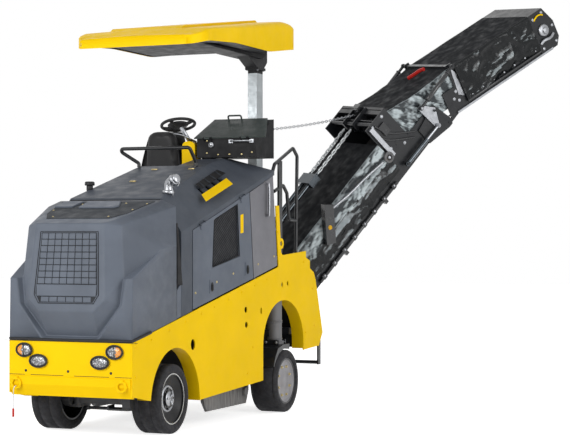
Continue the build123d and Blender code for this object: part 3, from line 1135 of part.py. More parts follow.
# Fold linkage on both sides: crank, link bar and cylinder
crank_x = half_belt + 26
link_x = half_belt + 55
link_end = (CRANK_U + CRANK_LINK[0], CRANK_N + CRANK_LINK[1])
rod_end = (CRANK_U + CRANK_ROD[0], CRANK_N + CRANK_ROD[1])
kink = math.radians(FOLD_REST - LIFT_REST)
lug_at = (
    FOLD_U + LUG_U * math.cos(kink) - (LUG_N - FOLD_N) * math.sin(kink),
    FOLD_N + LUG_U * math.sin(kink) + (LUG_N - FOLD_N) * math.cos(kink),
)
cyl_x = half_belt + 55


def crank(s):
    """A three-point crank plate with its link pin."""
    face = make_face(Polyline([
        (0, link_end[0] - 22, link_end[1] + 16), (0, link_end[0] + 24, link_end[1] + 18),
        (0, CRANK_U + 30, CRANK_N + 10), (0, rod_end[0] + 22, rod_end[1] - 20),
        (0, rod_end[0] - 22, rod_end[1] - 18)], close=True))
    plate = Pos(crank_x - 4, 0, 0) * extrude(face, 12, dir=(1, 0, 0))
    plate = plate.cut(rod((300, CRANK_U, CRANK_N), (500, CRANK_U, CRANK_N), PIN_D + 2 * PIN_PLAY))
    link_pin = rod((crank_x + 4, *link_end), (link_x + 20, *link_end), PIN_D)
    body = plate.fuse(link_pin)
    return body if s > 0 else mirrored(body)


def link_bar(s):
    """A round link bar with an eye at each end."""
    a = (link_x, *link_end)
    b = (link_x, *lug_at)
    body = rod(a, b, LINK_D)
    eyes = [rod((link_x - 11, p[1], p[2]), (link_x + 11, p[1], p[2]), 46) for p in (a, b)]
    holes = [rod((300, a[1], a[2]), (600, a[1], a[2]), PIN_D + 2 * PIN_PLAY)]
    pin = rod((link_x - 11, *lug_at), (link_x + 18, *lug_at), PIN_D)
    body = body.fuse(*eyes).cut(*holes).fuse(pin)
    return body if s > 0 else mirrored(body)


fold_way = Vector(0, rod_end[0] - FOLD_ANCHOR_U, rod_end[1] - FOLD_ANCHOR_N)
fold_len = fold_way.length
fold_dir = fold_way.normalized()


def along(start, way, distance):
    """A point at a distance along a direction."""
    return tuple(Vector(*start) + way * distance)


def fold_barrel(s):
    """A cylinder barrel with an eye, bored for its rod."""
    a = (cyl_x, FOLD_ANCHOR_U, FOLD_ANCHOR_N)
    body = rod(along(a, fold_dir, 20), along(a, fold_dir, FOLD_BARREL_L), FOLD_CYL_D)
    eye = rod((cyl_x - 14, a[1], a[2]), (cyl_x + 14, a[1], a[2]), 48)
    hole = rod((300, a[1], a[2]), (600, a[1], a[2]), PIN_D + 2 * PIN_PLAY)
    bore = rod(along(a, fold_dir, 40), along(a, fold_dir, FOLD_BARREL_L + 10), FOLD_ROD_D + 2 * PIN_PLAY)
    body = body.fuse(eye).cut(hole, bore)
    return body if s > 0 else mirrored(body)


def fold_rod(s):
    """A piston rod with its eye."""
    a = (cyl_x, FOLD_ANCHOR_U, FOLD_ANCHOR_N)
    b = (cyl_x, *rod_end)
    body = rod(along(a, fold_dir, 190), along(a, fold_dir, fold_len), FOLD_ROD_D)
    eye = rod((cyl_x - 14, b[1], b[2]), (cyl_x + 14, b[1], b[2]), 44)
    pin = rod((b[0] - 14, b[1], b[2]), (b[0] + 20, b[1], b[2]), PIN_D)
    body = body.fuse(eye, pin)
    return body if s > 0 else mirrored(body)


for name, maker in (("fold_cranks", crank), ("fold_links", link_bar), ("fold_barrels", fold_barrel),
                    ("fold_rods", fold_rod)):
    nodes[name] = lower_at * joined([maker(1), maker(-1)])

# Slewing bracket: hub between the ears, base plate, cheeks and the post that carries the lift cylinders
hub_z0 = ear_z[0] + EAR_T / 2 + CLEAR
hub_z1 = ear_z[1] - EAR_T / 2 - CLEAR
hub = Pos(0, 0, (hub_z0 + hub_z1) / 2) * Cylinder(88, hub_z1 - hub_z0)
slew_pin = Cylinder(SLEW_POST_D / 2, ear_z[1] - ear_z[0] + EAR_T + 60)
slew_pin = Pos(0, 0, (ear_z[0] + ear_z[1]) / 2) * slew_pin
pivot_y = BASE_OFFSET + LIFT_PIVOT_U * math.cos(math.radians(LIFT_REST)) - LIFT_PIVOT_N * math.sin(
    math.radians(LIFT_REST))
pivot_z = BASE_RISE + LIFT_PIVOT_U * math.sin(math.radians(LIFT_REST)) + LIFT_PIVOT_N * math.cos(
    math.radians(LIFT_REST))
cheek_in = half_belt + 26 + CLEAR
base_arm = block(-70, 70, 0, 260, hub_z0, hub_z1)
cheeks = []
for s in (-1, 1):
    x0 = s * cheek_in
    x1 = s * (cheek_in + CHEEK_T)
    face = make_face(Polyline([
        (0, 140, hub_z0), (0, 260, hub_z0), (0, pivot_y + 60, pivot_z), (0, pivot_y + 20, pivot_z + 60),
        (0, pivot_y - 50, pivot_z + 30)], close=True))
    cheeks.append(Pos(min(x0, x1), 0, 0) * extrude(face, CHEEK_T, dir=(1, 0, 0)))
    cheeks.append(rod((s * (cheek_in + CHEEK_T), pivot_y, pivot_z), (s * (half_belt - 20), pivot_y, pivot_z), 40))
cross = block(-cheek_in - CHEEK_T, cheek_in + CHEEK_T, 150, 250, hub_z0, hub_z1)
anchor_y = BASE_OFFSET + LIFT_ANCHOR_U * math.cos(math.radians(LIFT_REST)) - LIFT_ANCHOR_N * math.sin(
    math.radians(LIFT_REST))
anchor_z = BASE_RISE + LIFT_ANCHOR_U * math.sin(math.radians(LIFT_REST)) + LIFT_ANCHOR_N * math.cos(
    math.radians(LIFT_REST))
post = block(-50, 50, anchor_y - 60, anchor_y + 20, ear_z[1] + EAR_T / 2 + CLEAR, anchor_z + 10)
post_pin = rod((-100, anchor_y, anchor_z), (100, anchor_y, anchor_z), 36)
bracket = hub.fuse(slew_pin, base_arm, cross, *cheeks, post, post_pin)
nodes["slew_bracket"] = turn * bracket

# Lift cylinders, their clamp block and the two chains to the lug
lift_a = (0.0, LIFT_ANCHOR_U, LIFT_ANCHOR_N)
lift_b = (0.0, LIFT_LUG_U, LIFT_LUG_N)
lift_way = Vector(0, LIFT_LUG_U - LIFT_ANCHOR_U, LIFT_LUG_N - LIFT_ANCHOR_N)
lift_len = lift_way.length
lift_dir = lift_way.normalized()
CHAIN_WIRE = 9.0
CHAIN_PITCH = 52.0
BLOCK_AT = 1100.0


def lift_barrel(s):
    """One lift cylinder barrel with its eye."""
    a = (s * LIFT_CYL_T, LIFT_ANCHOR_U, LIFT_ANCHOR_N)
    body = rod(along(a, lift_dir, 24), along(a, lift_dir, LIFT_BARREL_L), LIFT_CYL_D)
    eye = rod((a[0] - 8, a[1], a[2]), (a[0] + 20, a[1], a[2]), 60)
    hole = rod((-200, a[1], a[2]), (200, a[1], a[2]), 36 + 2 * PIN_PLAY)
    bore = rod(along(a, lift_dir, 60), along(a, lift_dir, LIFT_BARREL_L + 10), LIFT_ROD_D + 2 * PIN_PLAY)
    return body.fuse(eye).cut(hole, bore)


nodes["lift_barrels"] = lower_at * joined([lift_barrel(1), mirrored(lift_barrel(1))])
rods = []
for s in (-1, 1):
    a = (s * LIFT_CYL_T, LIFT_ANCHOR_U, LIFT_ANCHOR_N)
    rods.append(rod(along(a, lift_dir, 340), along(a, lift_dir, BLOCK_AT), LIFT_ROD_D))
block_mid = along(lift_a, lift_dir, BLOCK_AT + 40)
clamp = Plane(origin=block_mid, x_dir=(1, 0, 0), z_dir=(0, -lift_dir.Z, lift_dir.Y)) * Box(230, 120, 76)


def chain_link(at, way, quarter):
    """One oval chain link along a direction, turned a quarter on every other link."""
    straight = CHAIN_PITCH - 22
    oval = SlotCenterToCenter(straight, 22 + CHAIN_WIRE)
    hole = SlotCenterToCenter(straight, 22 - CHAIN_WIRE)
    flat = extrude(oval - hole, CHAIN_WIRE / 2, both=True)
    frame_here = Plane(origin=at, x_dir=way, z_dir=(1, 0, 0))
    return frame_here * Rot(90 * quarter, 0, 0) * flat


chain_links = []
first_links = []
chain_start = BLOCK_AT + 110
chain_count = int((lift_len - 30 - chain_start) // (CHAIN_PITCH - 14))
for s in (-1, 1):
    for k in range(chain_count):
        a = (s * LIFT_CYL_T, LIFT_ANCHOR_U, LIFT_ANCHOR_N)
        at = along(a, lift_dir, chain_start + k * (CHAIN_PITCH - 14))
        (chain_links if k else first_links).append(chain_link(at, lift_dir, k % 2))
nodes["lift_rods"] = lower_at * clamp.fuse(*rods, *first_links)
nodes["lift_chains"] = lower_at * joined(chain_links)

# Move the origin under the middle of the machine's box, and write each piece
boxes = [shape.bounding_box() for shape in nodes.values()]
low = Vector(min(b.min.X for b in boxes), min(b.min.Y for b in boxes), min(b.min.Z for b in boxes))
high = Vector(max(b.max.X for b in boxes), max(b.max.Y for b in boxes), max(b.max.Z for b in boxes))
SHIFT = Pos(-(low.X + high.X) / 2, -(low.Y + high.Y) / 2, -low.Z)
os.makedirs("parts", exist_ok=True)
for name, shape in nodes.items():
    export_step(SHIFT * shape, f"parts/{name}.step")
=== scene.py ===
import math

import bmesh
import bpy
from mathutils import Matrix, Vector, noise


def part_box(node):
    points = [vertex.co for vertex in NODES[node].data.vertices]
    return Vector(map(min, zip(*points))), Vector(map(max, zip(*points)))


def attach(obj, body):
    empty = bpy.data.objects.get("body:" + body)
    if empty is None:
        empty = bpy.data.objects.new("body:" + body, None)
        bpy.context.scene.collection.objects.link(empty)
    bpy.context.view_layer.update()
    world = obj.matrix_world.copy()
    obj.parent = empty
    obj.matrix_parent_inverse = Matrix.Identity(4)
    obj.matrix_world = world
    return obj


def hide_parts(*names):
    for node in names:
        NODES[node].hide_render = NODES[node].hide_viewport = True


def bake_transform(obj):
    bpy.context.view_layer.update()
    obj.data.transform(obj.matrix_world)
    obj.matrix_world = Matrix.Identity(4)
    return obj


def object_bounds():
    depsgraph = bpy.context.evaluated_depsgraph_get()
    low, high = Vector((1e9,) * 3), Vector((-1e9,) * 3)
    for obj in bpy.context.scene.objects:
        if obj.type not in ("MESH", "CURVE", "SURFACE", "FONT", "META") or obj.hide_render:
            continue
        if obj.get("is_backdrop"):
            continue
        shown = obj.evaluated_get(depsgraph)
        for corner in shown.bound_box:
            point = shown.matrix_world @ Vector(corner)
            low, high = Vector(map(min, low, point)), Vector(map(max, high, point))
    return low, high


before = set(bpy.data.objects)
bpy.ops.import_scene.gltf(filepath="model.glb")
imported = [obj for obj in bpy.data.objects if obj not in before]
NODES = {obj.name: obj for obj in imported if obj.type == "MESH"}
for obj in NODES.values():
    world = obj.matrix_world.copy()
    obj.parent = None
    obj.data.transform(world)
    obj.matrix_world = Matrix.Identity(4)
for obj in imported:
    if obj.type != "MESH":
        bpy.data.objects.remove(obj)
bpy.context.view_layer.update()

scene = bpy.context.scene
MM = 0.001


# Placing helpers
def turned(x=0, y=0, z=0, rx=0, ry=0, rz=0):
    """A placement: a move, then turns in degrees about X, Y and Z."""
    place = Matrix.Translation((x, y, z))
    for angle, axis in ((rz, "Z"), (ry, "Y"), (rx, "X")):
        place = place @ Matrix.Rotation(math.radians(angle), 4, axis)
    return place


def facing(way, axis="Z", up="Y"):
    """A turn that points an axis along a direction."""
    return Vector(way).to_track_quat(axis, up).to_matrix().to_4x4()


def oval(w, h, n=28):
    """The points of an ellipse."""
    return [(w / 2 * math.cos(math.tau * k / n), h / 2 * math.sin(math.tau * k / n)) for k in range(n)]


def spoke(radius, angle, z=0.0):
    """A point at a radius and an angle round the Z axis."""
    return Vector((radius * math.cos(angle), radius * math.sin(angle), z))


def twin(points):
    """A closed outline from its right half, mirrored over X = 0."""
    left = [(-x, y) for x, y in points]
    return left[:1] + points + left[:0:-1]


def box_mid(node):
    """The middle of a CAD node's box."""
    low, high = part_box(node)
    return (Vector(low) + Vector(high)) / 2


# Main sizes: machine coordinates in millimetres, origin on the ground under the front axle, front -Y, left +X
HALF_W = 600
FLARE = 0.079
FRONT_Y = -650
TYRE_R = 280
FRONT_TRACK = 458
REAR_TRACK = 643
WHEELBASE = 1910
SEAM_Z0 = 909
SEAM_SLOPE = 0.226
CREASE_Z0 = 1680
CREASE_SLOPE = 0.345
HOOD_TOP_Z = 1872.5
HOOD_TOP_SLOPE = 0.287
ROOF_Z0 = 1872
ROOF_SLOPE = 0.29


def half_width(y):
    """Half width of the body at a distance y behind the front axle."""
    return HALF_W + FLARE * y


def seam_z(y):
    """Height of the seam between the hood and the yellow side at y."""
    return SEAM_Z0 + SEAM_SLOPE * y


def roof_z(y):
    """Height of the flat middle of the rear hood at y."""
    return ROOF_Z0 + ROOF_SLOPE * y


front_mid = (box_mid("tyre_front_left") + box_mid("tyre_front_right")) / 2
MACHINE = turned(front_mid.x, front_mid.y) @ Matrix.Scale(MM, 4)
UNPLACE = MACHINE.inverted()

# The body's planes: sides with X to the rear, Y up, Z out; front; hood top; YZ lays an outline on a side
side_x = Vector((FLARE, 1, 0)).normalized()
side_z = Vector((1, -FLARE, 0)).normalized()
SIDE = MACHINE @ Matrix((
    (side_x.x, 0, side_z.x, HALF_W),
    (side_x.y, 0, side_z.y, 0),
    (side_x.z, 1, side_z.z, 0),
    (0, 0, 0, 1),
))
MIRROR = MACHINE @ Matrix.Scale(-1, 4, (1, 0, 0)) @ UNPLACE
SIDES = (("left", SIDE), ("right", MIRROR @ SIDE))
FRONT = MACHINE @ turned(0, FRONT_Y, 0, 90)
HOOD_TOP = MACHINE @ turned(z=HOOD_TOP_Z) @ Matrix.Rotation(math.atan(HOOD_TOP_SLOPE), 4, "X")
YZ = Matrix(((0, 0, 1, 0), (1, 0, 0, 0), (0, 1, 0, 0), (0, 0, 0, 1)))
UP = (0, 0, 1)
BOTH = (-1, 1)

# Conveyor frames: X across to the left, Y along the belt, Z off the belt
SLEW_TILT = 9.0
SLEW_ANGLE = -37.3
LOWER_RISE = 42.5
UPPER_RISE = 24.3
SLEW = MACHINE @ turned(0, 2790, 600, SLEW_TILT) @ turned(rz=SLEW_ANGLE)
LOWER = SLEW @ turned(0, 165, 76, LOWER_RISE)
UPPER = LOWER @ turned(0, 2750, -30, UPPER_RISE - LOWER_RISE) @ turned(z=30)


# Materials
class Tree:
    """A small builder of node materials around one shader."""

    def __init__(self, holder, shader="Principled BSDF"):
        holder.use_nodes = True
        self.holder = holder
        self.nodes = holder.node_tree.nodes
        self.links = holder.node_tree.links
        self.shader = self.nodes[shader].inputs

    def put(self, value, socket):
        """Links an output to a socket, or sets the socket."""
        if isinstance(value, bpy.types.NodeSocket):
            self.links.new(value, socket)
        else:
            socket.default_value = (*value, 1) if socket.type == "RGBA" else value

    def node(self, kind, out, sockets, **settings):
        """A new node with its settings and sockets; gives one of its outputs."""
        node = self.nodes.new("ShaderNode" + kind)
        for key, value in settings.items():
            setattr(node, key, value)
        for key, value in sockets.items():
            self.put(value, node.inputs[key])
        return node.outputs[out]

    def coord(self):
        """The object's own coordinates."""
        return self.node("TexCoord", "Object", {})

    def stretched(self, stretch):
        """The object's own coordinates, stretched."""
        return self.node("Mapping", "Vector", {"Scale": stretch, "Vector": self.coord()})

    def noise(self, scale, detail=3.0, rough=0.5, stretch=(1, 1, 1)):
        """A noise texture's value."""
        return self.node("TexNoise", "Fac", {
            "Scale": scale, "Detail": detail, "Roughness": rough, "Vector": self.stretched(stretch)})

    def voronoi(self, scale):
        """A voronoi texture's distance."""
        return self.node("TexVoronoi", "Distance", {"Scale": scale, "Vector": self.stretched((1, 1, 1))})

    def wave(self, scale, across):
        """Straight bands across a direction."""
        value = self.node("VectorMath", "Value", {0: self.coord(), 1: across}, operation="DOT_PRODUCT")
        return self.node("TexWave", "Fac", {"Scale": scale, "Distortion": 0.3, "Vector": value})

    def ramp(self, value, *stops):
        """A colour ramp over a value, from two (place, colour) stops."""
        node = self.nodes.new("ShaderNodeValToRGB")
        for element, (place, colour) in zip(node.color_ramp.elements, stops):
            element.position = place
            element.color = (*colour, 1)
        self.put(value, node.inputs["Fac"])
        return node.outputs["Color"]

    def tones(self, colour, value, dark, light, start=0.3, end=0.7):
        """A colour that gets darker and lighter with a value."""
        return self.ramp(value, (start, shade(colour, dark)), (end, shade(colour, light)))

    def spread(self, value, low, high, start=0.3, end=0.7):
        """A value remapped from start..end to low..high."""
        return self.node("MapRange", "Result", {
            "From Min": start, "From Max": end, "To Min": low, "To Max": high, "Value": value})

    def mix(self, factor, a, b):
        """A mix of two colours by a factor."""
        return self.node("Mix", 2, {0: factor, 6: a, 7: b}, data_type="RGBA")

    def seen(self, hidden, seen):
        """A value for what the camera, a reflection or a glass sees, and another for the light that falls."""
        path = self.nodes.new("ShaderNodeLightPath").outputs
        total = path["Is Camera Ray"]
        for kind in ("Is Glossy Ray", "Is Transmission Ray"):
            total = self.node("Math", 0, {0: total, 1: path[kind]}, operation="ADD", use_clamp=True)
        return self.spread(total, hidden, seen, 0.0, 1.0)

    def finish(self, colour, rough, *bumps, **values):
        """Links colour, roughness and stacked bumps of (value, distance, strength), and sets other sockets."""
        self.put(colour, self.shader["Base Color"])
        self.put(rough, self.shader["Roughness"])
        for value, distance, strength in bumps:
            sockets = {"Distance": distance, "Strength": strength, "Height": value}
            if self.shader["Normal"].is_linked:
                sockets["Normal"] = self.shader["Normal"].links[0].from_socket
            self.put(self.node("Bump", "Normal", sockets), self.shader["Normal"])
        for key, value in values.items():
            self.put(value, self.shader[key.replace("_", " ")])
        return self.holder


def material(name):
    """A tree for a new material."""
    return Tree(bpy.data.materials.new(name))


def shade(colour, factor):
    """A colour made lighter or darker."""
    return tuple(min(1.0, c * factor) for c in colour)


def paint(name, colour, rough=0.3, dirt=(0.12, 0.1, 0.08), coat=0.3, peel=0.0004, gloss=0.5):
    """Machine paint: slight tone changes, orange peel, and dust in patches."""
    tree = material(name)
    patches = tree.spread(tree.noise(9, 6, 0.65), 0.0, 0.07, 0.55, 0.8)
    return tree.finish(
        tree.mix(patches, tree.tones(colour, tree.noise(2.2, 4), 0.94, 1.04), dirt),
        tree.spread(tree.noise(14, 5), rough * 0.8, rough * 1.35),
        (tree.noise(260, 2), peel, 0.3),
        Coat_Weight=coat, Coat_Roughness=0.12, Specular_IOR_Level=gloss)


def moulding(name, colour, rough=0.5, grain=900, gloss=0.2):
    """Grained plastic moulding with a soft sheen."""
    tree = material(name)
    return tree.finish(
        tree.tones(colour, tree.noise(3.5, 5), 0.9, 1.1),
        tree.spread(tree.noise(11, 5), rough * 0.85, rough * 1.25),
        (tree.noise(grain, 2), 0.0006, 0.35),
        Specular_IOR_Level=gloss)


def metal(name, colour, rough=0.35, brushed=(1, 1, 40), bump=0.0002):
    """Bare or plated metal with fine streaks and cloudy tone."""
    tree = material(name)
    return tree.finish(
        tree.tones(colour, tree.noise(18, 5), 0.82, 1.08),
        tree.spread(tree.noise(40, 4, 0.6, brushed), rough * 0.7, rough * 1.4),
        (tree.noise(120, 3, 0.6, brushed), bump, 0.5),
        Metallic=1.0)


def rubber(name, colour, rough=0.8, dust=(0.085, 0.084, 0.088)):
    """Rubber with scuffs and dust."""
    tree = material(name)
    base = tree.tones(colour, tree.noise(16, 6), 0.8, 1.35, 0.35)
    return tree.finish(
        tree.mix(tree.spread(tree.noise(45, 7, 0.7), 0.0, 0.3, 0.5, 0.8), base, dust),
        tree.spread(tree.noise(30, 5), rough * 0.85, min(1.0, rough * 1.2)),
        (tree.noise(150, 5, 0.7), 0.0012, 0.6),
        Specular_IOR_Level=0.25)


def tarpaulin(name, colour, rough=0.3, crease=0.004, coat=0.25, gloss=0.5):
    """Coated sheet with a fine weave and soft creases."""
    tree = material(name)
    return tree.finish(
        tree.tones(colour, tree.noise(5, 6), 0.8, 1.25, end=0.72),
        tree.spread(tree.noise(12, 5), rough * 0.75, rough * 1.5),
        (tree.noise(900, 1), 0.0003, 0.4), (tree.noise(13, 6, 0.62), crease, 0.8),
        Coat_Weight=coat, Coat_Roughness=0.2, Specular_IOR_Level=gloss)


def slatted_mesh(name):
    """Punched black mesh over diagonal slats, on one flat plate; the lighter slat stripes are painted highlights."""
    tree = material(name)
    slats = tree.wave(9, (0, 1, -1.3))
    holes = tree.voronoi(190)
    # lighter stripes along the slats: painted highlights
    base = tree.ramp(slats, (0.25, (0.002, 0.002, 0.003)), (0.7, (0.016, 0.017, 0.02)))
    return tree.finish(
        tree.mix(tree.spread(holes, 0.0, 0.5, 0.1, 0.45), base, (0.02, 0.021, 0.024)),
        tree.spread(tree.noise(20, 4), 0.5, 0.7),
        (holes, 0.0015, 0.7), (slats, 0.006, 0.6),
        Specular_IOR_Level=0.15)


def streaked_steel(name):
    """Worn grey steel with streaks that run up and down."""
    tree = material(name)
    streaks = tree.noise(14, 5, 0.6, (5, 5, 0.5))
    return tree.finish(
        tree.ramp(streaks, (0.35, (0.045, 0.044, 0.043)), (0.68, (0.24, 0.235, 0.23))),
        tree.spread(streaks, 0.4, 0.7), (streaks, 0.002, 0.5),
        Metallic=0.3)


def mast_metal(name, below, above, height):
    """Galvanised column with a black painted head above a height."""
    tree = material(name)
    up = tree.node("SeparateXYZ", 2, {0: tree.coord()})
    head = tree.spread(up, 0.0, 1.0, height - 0.002, height + 0.002)
    return tree.finish(
        tree.mix(head, tree.tones(below, tree.noise(6, 5), 0.85, 1.1), above),
        tree.spread(tree.noise(30, 4), 0.34, 0.55),
        (tree.noise(90, 3), 0.0002, 0.5),
        Metallic=0.6)


def lens(name, colour, mirror, deep):
    """A faceted lamp glass; its lighter and darker facet patches are painted reflections."""
    tree = material(name)
    facets = tree.voronoi(85)
    return tree.finish(
        # facets painted lighter and darker: painted reflections
        tree.tones(colour, facets, 1.6, deep, 0.1, 0.5),
        tree.spread(tree.noise(60, 3), 0.06, 0.14), (facets, 0.003, 0.7),
        Coat_Weight=0.8, Coat_Roughness=0.05, Metallic=mirror)


def crinkled(name, low, high, rough, start, end):
    """Plastic sheet that is pale where a fold faces up to the light and dark where it faces down."""
    tree = material(name)
    fold = tree.node("Attribute", "Fac", {}, attribute_name="fold")
    total = tree.node("Math", 0, {0: fold, 1: tree.spread(tree.noise(11, 6, 0.65), -0.06, 0.06)})
    return tree.finish(
        tree.ramp(total, (start, low), (end, high)),
        tree.spread(tree.noise(9, 5), rough * 0.8, rough * 1.5),
        (tree.noise(38, 4, 0.6), 0.004, 0.6),
        Coat_Weight=0.08, Coat_Roughness=0.1, Specular_IOR_Level=0.2)


YELLOW = (0.87, 0.56, 0.002)
DARK = (0.088, 0.101, 0.125)
M = {
    "yellow": paint("yellow_paint", YELLOW, 0.4, (0.6, 0.38, 0.004), 0.0, 0.0003, 0.06),
    "hood": moulding("dark_moulding", shade(DARK, 1.2)),
    # the hood's grey darkened to 0.72: painted shade on the rear hood's lit top
    "roof_painted_shade": moulding("roof_moulding_painted_shade", shade(DARK, 0.72)),
    "black": paint("black_paint", (0.011, 0.012, 0.014), 0.34, (0.04, 0.04, 0.042), 0.15, 0.0004, 0.3),
    "zinc": metal("galvanised", (0.5, 0.52, 0.53), 0.42, (1, 1, 6)),
    "steel": metal("turned_steel", (0.42, 0.42, 0.43), 0.3),
    "chrome": metal("rod_chrome", (0.33, 0.34, 0.36), 0.14, (60, 1, 1), 0.00005),
    "dark_rod": metal("dark_rod", (0.075, 0.085, 0.095), 0.2, (1, 1, 1), 0.00005),
    "brass": metal("brass_plated", (0.46, 0.38, 0.2), 0.35),
    "tyre": rubber("tyre_rubber", (0.022, 0.022, 0.025)),
    "belt": rubber("belt_rubber", (0.026, 0.026, 0.027), 0.8),
    "grip": moulding("grip", (0.02, 0.02, 0.021), 0.45, 400),
    "vinyl": moulding("seat_vinyl", (0.018, 0.018, 0.019), 0.38, 500),
    "cast": paint("cast_grey", (0.075, 0.075, 0.078), 0.55, (0.1, 0.08, 0.06), 0.0, 0.002),
    "white": paint("white_paint", (0.62, 0.62, 0.6), 0.35),
    "tarp": tarpaulin("black_sheet", (0.017, 0.018, 0.02)),
    "liner": moulding("liner_black", (0.01, 0.01, 0.011), 0.6),
    "liner_gloss": moulding("liner_gloss", (0.007, 0.007, 0.008), 0.5, 300),
    "hood_deep": moulding("hood_deep_grey", (0.026, 0.03, 0.036), 0.6),
    "mesh": slatted_mesh("mesh_black"),
    # the clear lamp glass is coloured silver as painted reflection
    "lens": lens("lamp_lens", (0.42, 0.43, 0.45), 0.5, 0.25),
    "amber": lens("amber_lens", (0.85, 0.27, 0.003), 0.0, 0.8),
    "rear_grey": moulding("rear_door_grey", (0.165, 0.165, 0.182), 0.42),
    "gloss_paint": paint("gloss_black_paint", (0.008, 0.009, 0.011), 0.22, (0.02, 0.02, 0.022), 0.3),
    "amber_dot": moulding("yellow_button", (0.75, 0.42, 0.01), 0.35, 300),
    "mast": mast_metal("mast_metal", (0.52, 0.56, 0.58), (0.01, 0.01, 0.011), 3.1),
    "streaked": streaked_steel("streaked_steel"),
    # near-black grey: painted shade in the gaps between the nose pillows
    "hood_line": moulding("pillow_gap_painted_shade", (0.014, 0.016, 0.02), 0.5),
    "red": moulding("red_grip", (0.42, 0.016, 0.012), 0.4, 300),
    "polished": metal("polished_steel", (0.36, 0.37, 0.39), 0.3, (1, 1, 3), 0.0001),
    "rim_grey": paint("rim_grey", (0.26, 0.255, 0.27), 0.45, (0.14, 0.12, 0.1), 0.1, 0.001),
    # Sheets: tones ramp with the light on the folds, as painted highlights and painted shade; the clear sheet's pale
    # tone is painted reflection
    "clear": crinkled("clear_sheet", (0.03, 0.036, 0.04), (0.46, 0.52, 0.54), 0.25, 0.3, 0.8),
    "gloss_streaked": crinkled("highlit_sheet", (0.006, 0.007, 0.008), (0.3, 0.34, 0.36), 0.2, 0.58, 0.98),
    "gloss_black": crinkled("gloss_black_sheet", (0.004, 0.005, 0.006), (0.24, 0.27, 0.28), 0.2, 0.7, 1.02),
    "matt_black": tarpaulin("matt_black_sheet", (0.012, 0.013, 0.015), 0.7, 0.002, 0.0, 0.12),
    "silver": metal("silver_plate", (0.34, 0.35, 0.37), 0.4, (1, 1, 1), 0.0002),
    "lid_green": moulding("lid_green_grey", (0.045, 0.055, 0.052), 0.4),
    "worn": paint("worn_grey", (0.13, 0.13, 0.135), 0.5, (0.2, 0.17, 0.13), 0.0, 0.0015),
}

# Looks of the CAD nodes; all others are black
NODE_LOOKS = {
    "yellow": "side_panel_left side_panel_right front_panel canopy control_pod side_wall_right",
    "hood": "hood side_door_left side_door_right",
    # rear hood in the darker copy of the hood's grey, as painted shade
    "roof_painted_shade": "hood_rear",
    "rear_grey": "rear_door_left",
    "zinc": "deck lift_chains",
    "mast": "mast",
    "grip": "steering_wheel",
    "liner": "console",
    "chrome": "fold_rods",
    "dark_rod": "lift_rods lift_barrels fold_barrels",
    "tyre": "tyre_front_left tyre_front_right tyre_rear_left tyre_rear_right",
    "belt": "lower_belt upper_belt",
    "cast": "engine_block milling_drum front_axle knuckle_left knuckle_right tie_rod",
    "vinyl": "seat",
    "tarp": "lower_cover upper_cover",
    "steel": "headlamps",
    "worn": "side_plates rear_legs",
    "silver": "fold_cranks",
    "lid_green": "console_lid",
}
look_of = {node: look for look, names in NODE_LOOKS.items() for node in names.split()}
for node, obj in NODES.items():
    obj.data.materials.clear()
    obj.data.materials.append(M[look_of.get(node, "black")])


# Piece builder: shapes are collected in one mesh, then put on a body
def apply(obj):
    """Applies every modifier of an object to its mesh."""
    graph = bpy.context.evaluated_depsgraph_get()
    mesh = bpy.data.meshes.new_from_object(obj.evaluated_get(graph))
    obj.modifiers.clear()
    obj.data = mesh


SLOTS = {
    "dark_hood": "hood liner hood_deep mesh",
    "zinc": "brass polished silver zinc rim_grey white worn mast",
    "black_steel": "black gloss_paint liner_gloss",
    "yellow_paint": "yellow",
    "grip": "grip red",
    "lamp": "lens",
    "tyre_rubber": "tyre",
    "sheet": "matt_black",
    "cast": "streaked",
}
SLOT_OF = {look: slot for slot, names in SLOTS.items() for look in names.split()}
PLACES = {"lower_conveyor": LOWER, "upper_conveyor": UPPER}


